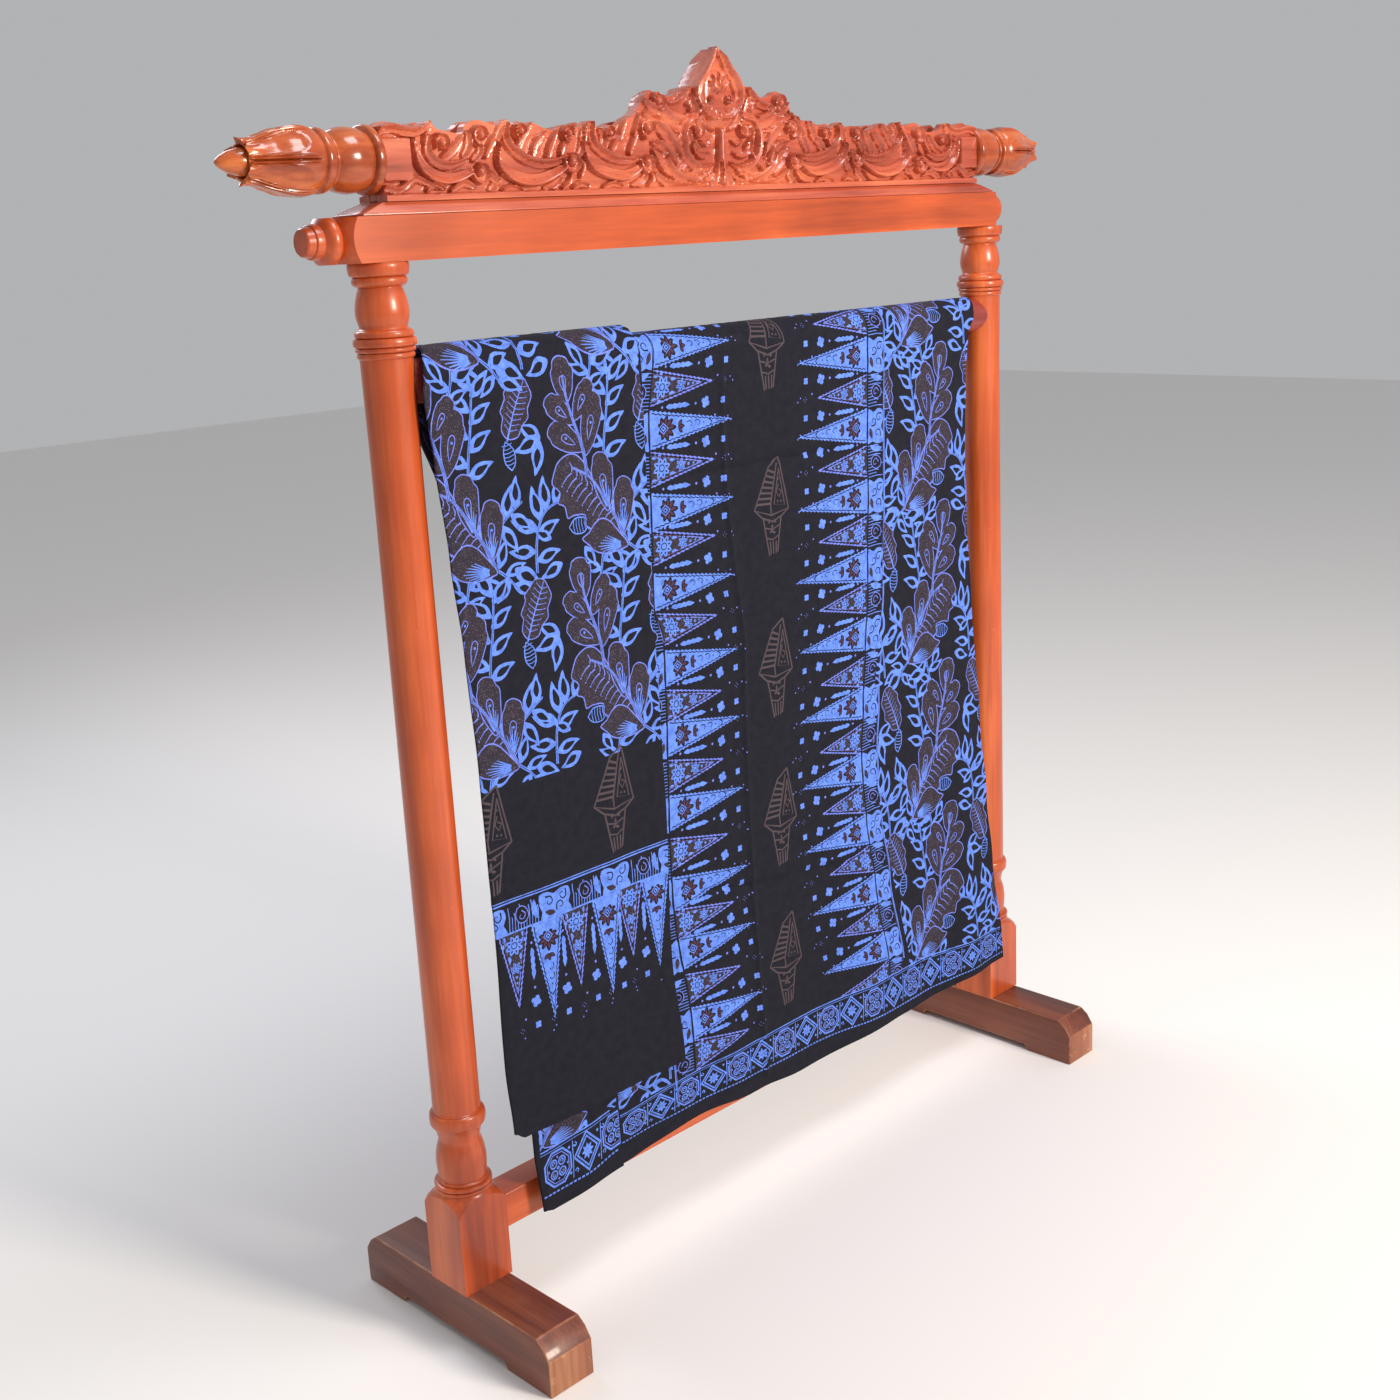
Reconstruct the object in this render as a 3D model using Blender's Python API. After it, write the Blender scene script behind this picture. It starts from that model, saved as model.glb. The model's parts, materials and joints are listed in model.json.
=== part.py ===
"""Stamped batik cloth hung over the rod of a carved wooden display stand.

Metres, +Z up. The origin is on the floor under the middle of the stand. X runs along
the stand, and the printed face of the cloth looks towards -Y.
"""
import math
from dataclasses import dataclass

import bmesh
import bpy
from mathutils import Vector

# General sizes
GAP = 0.0003
TURN_SIDES = 24

# Posts
LEFT_POST_X = -0.5772
RIGHT_POST_X = 0.6202
BLOCK_HALF_X = 0.0399
BLOCK_HALF_Y = 0.0388
BLOCK_TIP_Z = 0.1971
BLOCK_SHOULDER_RISE = 0.0150

# Feet
FOOT_HALF_WIDTH = 0.0368
FOOT_HALF_LENGTH = 0.2048
FOOT_TOP_Z = 0.0784
FOOT_END_Z = 0.0521
FOOT_SLOPE_LENGTH = 0.0245
FOOT_SLOPE_BEND = (0.0110, 0.0685)
FOOT_PAD_FRONT_Y = -0.1137
FOOT_PAD_BACK_Y = 0.1201
FOOT_NOTCH_HEIGHT = 0.0100
FOOT_NOTCH_SLOPE = 0.0060

# Stretcher between the two blocks
STRETCHER_BOTTOM_Z = 0.1362
STRETCHER_TOP_Z = 0.1873
STRETCHER_HALF_DEPTH = 0.0233

# Rod that carries the cloth
ROD_RADIUS = 0.0275
ROD_Z = 1.2980
ROD_HOUSING = 0.0140
ROD_CUT_REACH = 0.0300

# Upper rail with its turned ends
RAIL_BOTTOM_Z = 1.4412
RAIL_TOP_Z = 1.4940
RAIL_HALF_DEPTH = 0.0333
RAIL_HALF_LENGTH = 0.6240
RAIL_SHOULDER = 0.0090

# Hipped plate on the rail
PLATE_TOP_Z = 1.5093
PLATE_HALF_LENGTH_LOW = 0.6130
PLATE_HALF_LENGTH_TOP = 0.5780
PLATE_HALF_DEPTH_LOW = 0.0325
PLATE_HALF_DEPTH_TOP = 0.0240

# Carved crest: two boards on a core beam
CREST_BOTTOM_Z = 1.5096
CREST_END_Z = 1.5965
CREST_HALF_LENGTH = 0.5750
CREST_OUTER_Y = 0.0310
CREST_INNER_Y = 0.0075
CREST_CORE_HALF_DEPTH = 0.0072
CREST_CORE_TOP_Z = 1.5880
CREST_CORNER = 0.0160
CREST_CENTRE_X = -0.0080
CREST_END_PLAIN = 0.0200

# Finials on the ends of the crest
FINIAL_Z = 1.5575
FINIAL_LENGTH = 0.2040
PETALS = 6

# Squared pieces: broken edge
BROKEN_EDGE = 0.0012

# Cloth
CLOTH_THICKNESS = 0.0020
CLOTH_CLEARANCE = 0.0022
LAYER_STEP = 0.0040
HEM_BULGE = 0.0130
HANG_LOW_Z = 0.1500
WRAP_STEPS = 8
WRAP_READ_RISE = 0.0330

# Rows of a turned post above its block: height, radius
POST_PROFILE = (
    (0.2173, 0.0380), (0.2225, 0.0392), (0.2295, 0.0386), (0.2345, 0.0330),
    (0.2430, 0.0334), (0.2606, 0.0343), (0.2770, 0.0322), (0.2915, 0.0280),
    (0.3035, 0.0303), (0.3140, 0.0352), (0.3233, 0.0375), (0.3300, 0.0350),
    (0.3345, 0.0323), (0.7600, 0.0322), (1.1832, 0.0310), (1.2693, 0.0317),
    (1.3303, 0.0327), (1.3357, 0.0351), (1.3420, 0.0366), (1.3483, 0.0382),
    (1.3545, 0.0366), (1.3601, 0.0351), (1.3664, 0.0289), (1.3730, 0.0309),
    (1.3834, 0.0326), (1.3990, 0.0305), (1.4130, 0.0260), (1.4184, 0.0312),
    (1.4250, 0.0330), (1.4317, 0.0359), (1.4370, 0.0368), (1.4409, 0.0360),
)

# Rows of the rail's turned ends, outwards from the shoulder: distance, radius
RAIL_KNOB_LEFT = (
    (0.0100, 0.0255), (0.0125, 0.0215), (0.0165, 0.0270), (0.0225, 0.0300),
    (0.0290, 0.0285), (0.0330, 0.0240), (0.0355, 0.0205), (0.0440, 0.0200),
    (0.0460, 0.0180), (0.0540, 0.0165), (0.0560, 0.0150),
)
RAIL_KNOB_RIGHT = (
    (0.0040, 0.0255), (0.0065, 0.0235), (0.0110, 0.0258), (0.0170, 0.0262), (0.0240, 0.0245),
    (0.0290, 0.0200), (0.0310, 0.0120),
)

# Rows of a finial, outwards from the crest end: distance, radius, petal depth
FINIAL_PROFILE = (
    (0.0000, 0.0350, 0.0), (0.0060, 0.0402, 0.0), (0.0115, 0.0400, 0.0), (0.0150, 0.0345, 0.0),
    (0.0260, 0.0372, 0.0), (0.0400, 0.0375, 0.0), (0.0530, 0.0345, 0.0), (0.0620, 0.0308, 0.0),
    (0.0670, 0.0335, 0.0), (0.0720, 0.0362, 0.0), (0.0775, 0.0364, 0.0), (0.0815, 0.0345, 0.0),
    (0.0900, 0.0385, 0.0010), (0.1060, 0.0402, 0.0020), (0.1240, 0.0375, 0.0026),
    (0.1420, 0.0315, 0.0030), (0.1600, 0.0245, 0.0034), (0.1690, 0.0222, 0.0040),
)
FINIAL_CONE = ((0.1672, 0.0170), (0.1760, 0.0172), (0.1880, 0.0125), (0.1990, 0.0050))
PETAL_TIP_REACH = 0.0060

# Half outline of the crest's top from the middle outwards: distance from the middle, height
CREST_TOP = (
    (0.0000, 1.7000), (0.0090, 1.6880), (0.0230, 1.6735), (0.0370, 1.6585), (0.0470, 1.6430),
    (0.0500, 1.6400), (0.0640, 1.6395), (0.0800, 1.6345), (0.0930, 1.6310), (0.1010, 1.6350),
    (0.1120, 1.6402), (0.1230, 1.6396), (0.1310, 1.6330), (0.1430, 1.6240), (0.1590, 1.6120),
    (0.1670, 1.6030), (0.1880, 1.6015), (0.2040, 1.5970), (0.2200, 1.5940),
)
CREST_SCALLOPS = 6
CREST_SCALLOP_LOW_Z = 1.5940
CREST_SCALLOP_RISE = 0.0085
CREST_SCALLOP_ROUND = 0.7
CREST_SCALLOP_POINTS = 4

# Edges of the cloth's leaves at several heights of the front: height, x
WIDE_RIGHT_EDGE = (
    (0.152, 0.6130), (0.198, 0.6100), (0.342, 0.5880), (0.470, 0.5740), (0.610, 0.5600),
    (0.827, 0.5420), (0.960, 0.5340), (1.083, 0.5310), (1.200, 0.5360), (1.278, 0.5450),
    (1.298, 0.5600), (1.330, 0.5760),
)
WIDE_LEFT_EDGE = (
    (0.140, -0.4780), (0.241, -0.4850), (0.700, -0.4950), (1.298, -0.5150), (1.330, -0.5150),
)
FLAP_RIGHT_EDGE = ((0.149, -0.3290), (0.600, -0.3330), (1.298, -0.3350), (1.330, -0.3350))
OVER_LEFT_EDGE = (
    (0.286, -0.5210), (0.390, -0.5260), (0.548, -0.5220), (0.799, -0.5230), (0.960, -0.5290),
    (1.078, -0.5380), (1.200, -0.5480), (1.287, -0.5560), (1.306, -0.5520), (1.3145, -0.5450),
    (1.3228, -0.5350), (1.331, -0.5310),
)
OVER_RIGHT_EDGE = (
    (0.272, -0.1990), (0.442, -0.2120), (0.671, -0.2040), (0.907, -0.2040), (1.104, -0.2020),
    (1.298, -0.2000), (1.342, -0.2000),
)
OVER_UNDER_EDGE = ((0.270, -0.3200), (1.342, -0.3200))

# The same edges down the back, drawn in below the rod: height, x
WIDE_BACK_RIGHT_EDGE = ((0.240, 0.5640), (0.900, 0.5600), (1.298, 0.5760))
WIDE_BACK_LEFT_EDGE = ((0.240, -0.4300), (0.900, -0.4500), (1.120, -0.4700), (1.298, -0.5150))
FLAP_BACK_RIGHT_EDGE = ((0.240, -0.3000), (0.900, -0.3150), (1.298, -0.3350))
OVER_BACK_RIGHT_EDGE = ((0.340, -0.1960), (0.900, -0.2000), (1.298, -0.2000))
OVER_BACK_LEFT_EDGE = ((0.340, -0.4500), (0.900, -0.4600), (1.120, -0.4800), (1.298, -0.5310))
OVER_BACK_UNDER_EDGE = ((0.340, -0.3000), (1.298, -0.3200))

# Bottom hems of the front: x, height
WIDE_HEM = (
    (-0.4850, 0.1500), (-0.4650, 0.1440), (-0.3300, 0.1520), (-0.1600, 0.1640), (-0.0400, 0.1540),
    (0.0700, 0.1450), (0.3300, 0.1470), (0.5000, 0.1500), (0.6130, 0.1520),
)
OVER_HEM = ((-0.5250, 0.2880), (-0.5050, 0.2760), (-0.4300, 0.2740), (-0.1990, 0.2700))
WIDE_BACK_HEM_Z = 0.2400
OVER_BACK_HEM_Z = 0.3400

# Leaf columns across the cloth and rows down it
WIDE_COLUMNS = 22
FLAP_COLUMNS = 4
OVER_COLUMNS = 8
UNDER_COLUMNS = 4
FOLD_STEPS = 3
FRONT_ROWS = 11
BACK_ROWS = 6

# Standing waves of the hanging front: middle x at the top, drift to the hem, half width, depth
FRONT_WAVES = (
    (-0.4300, 0.0300, 0.0450, 0.0030),
    (-0.2500, -0.0200, 0.0500, -0.0030),
    (-0.1000, 0.0150, 0.0450, 0.0035),
    (0.0900, 0.0200, 0.0600, -0.0030),
    (0.2500, -0.0100, 0.0500, 0.0050),
    (0.3700, 0.0350, 0.0450, -0.0040),
    (0.4700, 0.0500, 0.0400, 0.0060),
)

RED_WOOD = ("lacquered_hardwood", (0.42, 0.105, 0.045, 1.0), 0.28)
DARK_WOOD = ("dark_rod_wood", (0.20, 0.030, 0.022, 1.0), 0.40)
COTTON = ("dyed_cotton", (0.035, 0.040, 0.085, 1.0), 0.85)


@dataclass(frozen=True)
class Leaf:
    """One leaf of cloth folded at its left edge: its edges, hems, column counts and layers.

    Each edge is a pair of tables, for the front and for the back. The layers are the
    distances of its two thicknesses outside the first cloth on the rod.
    """

    right: tuple
    left: tuple
    turned: tuple
    hem: tuple
    back_hem_z: float
    columns: tuple
    layers: tuple


def clear_scene() -> None:
    """Remove every object of the open scene."""
    for thing in list(bpy.data.objects):
        bpy.data.objects.remove(thing, do_unlink=True)


def finish_material(thing: bpy.types.Object, finish: tuple) -> None:
    """Give an object its own Principled material."""
    label, colour, roughness = finish
    material = bpy.data.materials.new(f"{label}_{thing.name}")
    material.use_nodes = True
    shader = material.node_tree.nodes["Principled BSDF"]
    shader.inputs["Base Color"].default_value = colour
    shader.inputs["Roughness"].default_value = roughness
    thing.data.materials.append(material)


def new_object(name: str, mesh_builder: bmesh.types.BMesh, finish: tuple, smooth: float = 0.0) -> bpy.types.Object:
    """Turn a bmesh into a linked object with its material."""
    bmesh.ops.recalc_face_normals(mesh_builder, faces=mesh_builder.faces)
    mesh = bpy.data.meshes.new(name)
    mesh_builder.to_mesh(mesh)
    mesh_builder.free()
    if smooth > 0.0:
        mesh.shade_smooth()
        mesh.set_sharp_from_angle(angle=math.radians(smooth))
    thing = bpy.data.objects.new(name, mesh)
    bpy.context.scene.collection.objects.link(thing)
    finish_material(thing, finish)
    return thing


def bridge_rings(builder: bmesh.types.BMesh, rings: list) -> None:
    """Skin closed rings of points one after another and cap both ends."""
    loops = [[builder.verts.new(point) for point in ring] for ring in rings]
    count = len(loops[0])
    for lower, upper in zip(loops, loops[1:]):
        for step in range(count):
            after = (step + 1) % count
            builder.faces.new((lower[step], lower[after], upper[after], upper[step]))
    builder.faces.new(list(reversed(loops[0])))
    builder.faces.new(loops[-1])


def bevel_edges(thing: bpy.types.Object) -> None:
    """Break the sharp edges of a squared piece."""
    bevel = thing.modifiers.new("broken_edges", "BEVEL")
    bevel.width = BROKEN_EDGE
    bevel.segments = 1
    bevel.limit_method = "ANGLE"
    bevel.angle_limit = math.radians(30.0)


def table_value(table: tuple, at: float) -> float:
    """Read a table of (key, value) rows with smooth steps between the rows."""
    if at <= table[0][0]:
        return table[0][1]
    for (key_a, value_a), (key_b, value_b) in zip(table, table[1:]):
        if at <= key_b:
            share = (at - key_a) / (key_b - key_a)
            return value_a + (value_b - value_a) * share * share * (3.0 - 2.0 * share)
    return table[-1][1]


def square_reach(angle: float, half_a: float, half_b: float) -> float:
    """Distance from the middle of a rectangle to its side in one direction."""
    return 1.0 / max(abs(math.cos(angle)) / half_a, abs(math.sin(angle)) / half_b)


def around(side_count: int) -> list:
    """Angles of an even ring."""
    return [math.tau * step / side_count for step in range(side_count)]


def around_corners(side_count: int, half_a: float, half_b: float) -> list:
    """Angles of a ring with a point on each corner of a rectangle and even steps between them."""
    corner = math.atan2(half_b, half_a)
    corners = (-corner, corner, math.pi - corner, math.pi + corner, math.tau - corner)
    steps = side_count // 4
    return [a + (b - a) * step / steps for a, b in zip(corners, corners[1:]) for step in range(steps)]


def make_post(name: str, centre_x: float) -> bpy.types.Object:
    """One turned post whose square block runs into a round shoulder."""
    angles = around_corners(TURN_SIDES, BLOCK_HALF_X, BLOCK_HALF_Y)
    corner = math.hypot(BLOCK_HALF_X, BLOCK_HALF_Y)
    reach = [square_reach(angle, BLOCK_HALF_X, BLOCK_HALF_Y) for angle in angles]
    low, tip = [], []
    for angle, far in zip(angles, reach):
        rise = BLOCK_SHOULDER_RISE * (corner - far) / (corner - BLOCK_HALF_Y)
        low.append((centre_x + far * math.cos(angle), far * math.sin(angle), FOOT_TOP_Z + GAP))
        tip.append((centre_x + far * math.cos(angle), far * math.sin(angle), BLOCK_TIP_Z + rise))
    rings = [low, tip]
    for height, radius in POST_PROFILE:
        rings.append([(centre_x + radius * math.cos(a), radius * math.sin(a), height) for a in angles])
    builder = bmesh.new()
    bridge_rings(builder, rings)
    return new_object(name, builder, RED_WOOD, smooth=35.0)


def make_foot(name: str, centre_x: float) -> bpy.types.Object:
    """One foot: a bar across the stand, sloped at both ends and cut away between its pads."""
    half = FOOT_HALF_LENGTH
    outline = (
        (-half, 0.0), (FOOT_PAD_FRONT_Y, 0.0), (FOOT_PAD_FRONT_Y + FOOT_NOTCH_SLOPE, FOOT_NOTCH_HEIGHT),
        (FOOT_PAD_BACK_Y - FOOT_NOTCH_SLOPE, FOOT_NOTCH_HEIGHT), (FOOT_PAD_BACK_Y, 0.0), (half, 0.0),
        (half, FOOT_END_Z), (half - FOOT_SLOPE_BEND[0], FOOT_SLOPE_BEND[1]),
        (half - FOOT_SLOPE_LENGTH, FOOT_TOP_Z), (FOOT_SLOPE_LENGTH - half, FOOT_TOP_Z),
        (FOOT_SLOPE_BEND[0] - half, FOOT_SLOPE_BEND[1]), (-half, FOOT_END_Z),
    )
    builder = bmesh.new()
    side = builder.faces.new([builder.verts.new((centre_x - FOOT_HALF_WIDTH, y, z)) for y, z in outline])
    grown = bmesh.ops.extrude_face_region(builder, geom=[side])
    moved = [part for part in grown["geom"] if isinstance(part, bmesh.types.BMVert)]
    bmesh.ops.translate(builder, verts=moved, vec=Vector((2.0 * FOOT_HALF_WIDTH, 0.0, 0.0)))
    return new_object(name, builder, RED_WOOD)


def make_box(name: str, low: tuple, high: tuple) -> bpy.types.Object:
    """A squared bar between two corners with broken edges."""
    builder = bmesh.new()
    bmesh.ops.create_cube(builder, size=1.0)
    size = [b - a for a, b in zip(low, high)]
    middle = [(a + b) / 2.0 for a, b in zip(low, high)]
    bmesh.ops.scale(builder, verts=builder.verts, vec=Vector(size))
    bmesh.ops.translate(builder, verts=builder.verts, vec=Vector(middle))
    thing = new_object(name, builder, RED_WOOD)
    bevel_edges(thing)
    return thing


def post_radius(height: float) -> float:
    """Radius of a post's shaft at one height, straight between the rows of its profile."""
    for (low, radius_low), (high, radius_high) in zip(POST_PROFILE, POST_PROFILE[1:]):
        if low <= height <= high:
            return radius_low + (radius_high - radius_low) * (height - low) / (high - low)
    return POST_PROFILE[-1][1]


def make_rod_cutter(name: str, centre_x: float) -> bpy.types.Object:
    """A turned guide just larger than the post, for the rod's hollowed end."""
    low, high = ROD_Z - ROD_CUT_REACH, ROD_Z + ROD_CUT_REACH
    heights = [low] + [z for z, _ in POST_PROFILE if low < z < high] + [high]
    rings = []
    for height in heights:
        radius = post_radius(height) + 2.0 * GAP
        angles = around_corners(TURN_SIDES, BLOCK_HALF_X, BLOCK_HALF_Y)
        rings.append([(centre_x + radius * math.cos(a), radius * math.sin(a), height) for a in angles])
    builder = bmesh.new()
    bridge_rings(builder, rings)
    cutter = new_object(name, builder, RED_WOOD)
    cutter.hide_render = True
    cutter.display_type = "WIRE"
    return cutter


def make_rod() -> bpy.types.Object:
    """The rod between the posts, its ends hollowed to fit their round sides."""
    builder = bmesh.new()
    rings = []
    for x in (LEFT_POST_X + ROD_HOUSING, RIGHT_POST_X - ROD_HOUSING):
        rings.append([(x, ROD_RADIUS * math.cos(a), ROD_Z + ROD_RADIUS * math.sin(a)) for a in around(TURN_SIDES)])
    bridge_rings(builder, rings)
    rod = new_object("cloth_rod", builder, DARK_WOOD, smooth=35.0)
    for side, centre_x in (("left", LEFT_POST_X), ("right", RIGHT_POST_X)):
        cut = rod.modifiers.new(f"{side}_end", "BOOLEAN")
        cut.operation = "DIFFERENCE"
        cut.solver = "EXACT"
        cut.object = make_rod_cutter(f"guide_{side}_end", centre_x)
    return rod


def make_rail() -> bpy.types.Object:
    """The upper rail: a squared bar turned to a stepped knob at each end."""
    middle_z = (RAIL_BOTTOM_Z + RAIL_TOP_Z) / 2.0
    half_height = (RAIL_TOP_Z - RAIL_BOTTOM_Z) / 2.0
    corner = math.hypot(RAIL_HALF_DEPTH, half_height)
    angles = around_corners(TURN_SIDES, RAIL_HALF_DEPTH, half_height)

    def knob_ring(sign: int, distance: float, radius: float) -> list:
        x = sign * (RAIL_HALF_LENGTH + distance)
        return [(x, radius * math.cos(a), middle_z + radius * math.sin(a)) for a in angles]

    def shoulder_ring(sign: int) -> list:
        ring = []
        for a in angles:
            far = square_reach(a, RAIL_HALF_DEPTH, half_height)
            along = RAIL_SHOULDER * (far - half_height) / (corner - half_height)
            ring.append((sign * (RAIL_HALF_LENGTH - along), far * math.cos(a), middle_z + far * math.sin(a)))
        return ring

    rings = [knob_ring(-1, distance, radius) for distance, radius in reversed(RAIL_KNOB_LEFT)]
    rings += [shoulder_ring(-1), shoulder_ring(1)]
    rings += [knob_ring(1, distance, radius) for distance, radius in RAIL_KNOB_RIGHT]
    builder = bmesh.new()
    bridge_rings(builder, rings)
    return new_object("upper_rail", builder, RED_WOOD, smooth=35.0)


def make_plate() -> bpy.types.Object:
    """The hipped plate between the rail and the crest."""
    rings = []
    for z, half_x, half_y in (
        (RAIL_TOP_Z + GAP, PLATE_HALF_LENGTH_LOW, PLATE_HALF_DEPTH_LOW),
        (RAIL_TOP_Z + 0.0025, PLATE_HALF_LENGTH_LOW, PLATE_HALF_DEPTH_LOW),
        (PLATE_TOP_Z, PLATE_HALF_LENGTH_TOP, PLATE_HALF_DEPTH_TOP),
    ):
        rings.append([(-half_x, -half_y, z), (half_x, -half_y, z), (half_x, half_y, z), (-half_x, half_y, z)])
    builder = bmesh.new()
    bridge_rings(builder, rings)
    return new_object("crest_plate", builder, RED_WOOD)


def crest_outline() -> list:
    """Outline of a crest board, anticlockwise from its lower left corner, as (x, z)."""
    scallop_start = CREST_TOP[-1][0]
    span = (CREST_HALF_LENGTH - CREST_END_PLAIN - scallop_start) / CREST_SCALLOPS
    half = list(CREST_TOP)
    for scallop in range(CREST_SCALLOPS):
        for point in range(1, CREST_SCALLOP_POINTS + 1):
            share = point / CREST_SCALLOP_POINTS
            rise = CREST_SCALLOP_RISE * max(0.0, math.sin(math.pi * share)) ** CREST_SCALLOP_ROUND
            half.append((scallop_start + span * (scallop + share), CREST_SCALLOP_LOW_Z + rise))
    right = [(CREST_CENTRE_X + x, z) for x, z in half]
    left = [(CREST_CENTRE_X - x, z) for x, z in half[1:]]
    low = [
        (-CREST_HALF_LENGTH, CREST_BOTTOM_Z + CREST_CORNER), (CREST_CORNER - CREST_HALF_LENGTH, CREST_BOTTOM_Z),
        (CREST_HALF_LENGTH - CREST_CORNER, CREST_BOTTOM_Z), (CREST_HALF_LENGTH, CREST_BOTTOM_Z + CREST_CORNER),
        (CREST_HALF_LENGTH, CREST_END_Z),
    ]
    return low + list(reversed(right)) + left + [(-CREST_HALF_LENGTH, CREST_END_Z)]


def make_crest_board(name: str, side: int) -> bpy.types.Object:
    """One carved board of the crest, in front of the core (-1) or behind it (+1)."""
    builder = bmesh.new()
    face = builder.faces.new([builder.verts.new((x, side * CREST_INNER_Y, z)) for x, z in crest_outline()])
    grown = bmesh.ops.extrude_face_region(builder, geom=[face])
    moved = [part for part in grown["geom"] if isinstance(part, bmesh.types.BMVert)]
    depth = side * (CREST_OUTER_Y - CREST_INNER_Y)
    bmesh.ops.translate(builder, verts=moved, vec=Vector((0.0, depth, 0.0)))
    bmesh.ops.triangulate(builder, faces=[f for f in builder.faces if len(f.verts) > 4])
    return new_object(name, builder, RED_WOOD)


def make_finial(name: str, side: int) -> bpy.types.Object:
    """A turned finial with a six-petalled bud that closes round a small cone."""
    base_x = side * (CREST_HALF_LENGTH + GAP)
    angles = around(TURN_SIDES)
    rings = []
    for distance, radius, depth in FINIAL_PROFILE:
        ring = []
        last = distance == FINIAL_PROFILE[-1][0]
        for a in angles:
            ridge = abs(math.cos(PETALS * a / 2.0))
            far = radius - depth * (1.0 - ridge)
            x = base_x + side * (distance + (PETAL_TIP_REACH * ridge if last else 0.0))
            ring.append((x, far * math.cos(a), FINIAL_Z + far * math.sin(a)))
        rings.append(ring)
    for distance, radius in FINIAL_CONE:
        x = base_x + side * distance
        rings.append([(x, radius * math.cos(a), FINIAL_Z + radius * math.sin(a)) for a in angles])
    builder = bmesh.new()
    bridge_rings(builder, rings)
    cap = max(builder.faces, key=lambda f: abs(f.calc_center_median().x))
    tip = bmesh.ops.poke(builder, faces=[cap])["verts"][0]
    tip.co.x = base_x + side * FINIAL_LENGTH
    return new_object(name, builder, RED_WOOD, smooth=35.0)


def front_depth(x: float, z: float) -> float:
    """How far the hanging front stands out from the rod's plane: its waves and the hem's spread."""
    drop = max(0.0, min(1.0, (ROD_Z - z) / (ROD_Z - HANG_LOW_Z)))
    depth = HEM_BULGE * drop * drop
    for middle, drift, half_width, height in FRONT_WAVES:
        near = (x - middle - drift * drop) / half_width
        depth += height * drop * math.exp(-near * near)
    return depth


def drape_point(x: float, row: tuple, offset: float) -> tuple:
    """A point of a layer: row is (kind, value), offset the layer's distance outside the wide leaf."""
    reach = ROD_RADIUS + CLOTH_CLEARANCE + CLOTH_THICKNESS / 2.0 + offset
    kind, value = row
    if kind == "front":
        return (x, -reach - front_depth(x, value), value)
    if kind == "wrap":
        return (x, -reach * math.cos(value), ROD_Z + reach * math.sin(value))
    return (x, reach, value)


def leaf_rows(hem_z: float, back_hem_z: float) -> list:
    """Rows down the front, over the rod and down the back, from the hem."""
    rows = []
    for step in range(FRONT_ROWS):
        share = step / FRONT_ROWS
        rows.append(("front", hem_z + (ROD_Z - hem_z) * share))
    for step in range(WRAP_STEPS + 1):
        rows.append(("wrap", math.pi * step / WRAP_STEPS))
    for step in range(1, BACK_ROWS + 1):
        rows.append(("back", ROD_Z - (ROD_Z - back_hem_z) * step / BACK_ROWS))
    return rows


def edge_x(edge: tuple, row: tuple) -> float:
    """Where an edge runs at one row, from its front table or its back table."""
    front, back = edge
    kind, value = row
    if kind == "front":
        return table_value(front, value)
    if kind == "wrap":
        return table_value(front, ROD_Z + WRAP_READ_RISE * min(1.0, 2.0 * value / math.pi))
    return table_value(back, value)


def leaf_columns(leaf: Leaf) -> list:
    """Columns of a leaf from its right edge to its left fold and back to its turned edge.

    Each column is a function that gives x, layer distance and hem height at a row.
    """
    first, second = leaf.layers
    first_count, second_count = leaf.columns

    def plain(share: float, start: tuple, end: tuple, layer: float):
        def column(row: tuple) -> tuple:
            a, b = edge_x(start, row), edge_x(end, row)
            x = a + (b - a) * share
            return (x, layer, table_value(leaf.hem, x))
        return column

    def fold(share: float):
        middle, radius = (first + second) / 2.0, (second - first) / 2.0

        def column(row: tuple) -> tuple:
            x, turn = edge_x(leaf.left, row), math.pi * share
            return (x - abs(radius) * math.sin(turn), middle - radius * math.cos(turn), table_value(leaf.hem, x))
        return column

    columns = [plain(step / first_count, leaf.right, leaf.left, first) for step in range(first_count)]
    columns += [fold(step / FOLD_STEPS) for step in range(FOLD_STEPS + 1)]
    columns += [plain(step / second_count, leaf.left, leaf.turned, second) for step in range(1, second_count + 1)]
    return columns


def leaf_grid(leaf: Leaf) -> list:
    """Points of the middle of a leaf: one line of points, hem to hem, for each column."""
    grid = []
    for column in leaf_columns(leaf):
        line = []
        for number, place in enumerate(leaf_rows(leaf.hem[0][1], leaf.back_hem_z)):
            hem_here = column(place)[2]
            row = leaf_rows(hem_here, leaf.back_hem_z)[number]
            x, layer, _ = column(row)
            line.append(Vector(drape_point(x, row, layer)))
        grid.append(line)
    return grid


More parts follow.
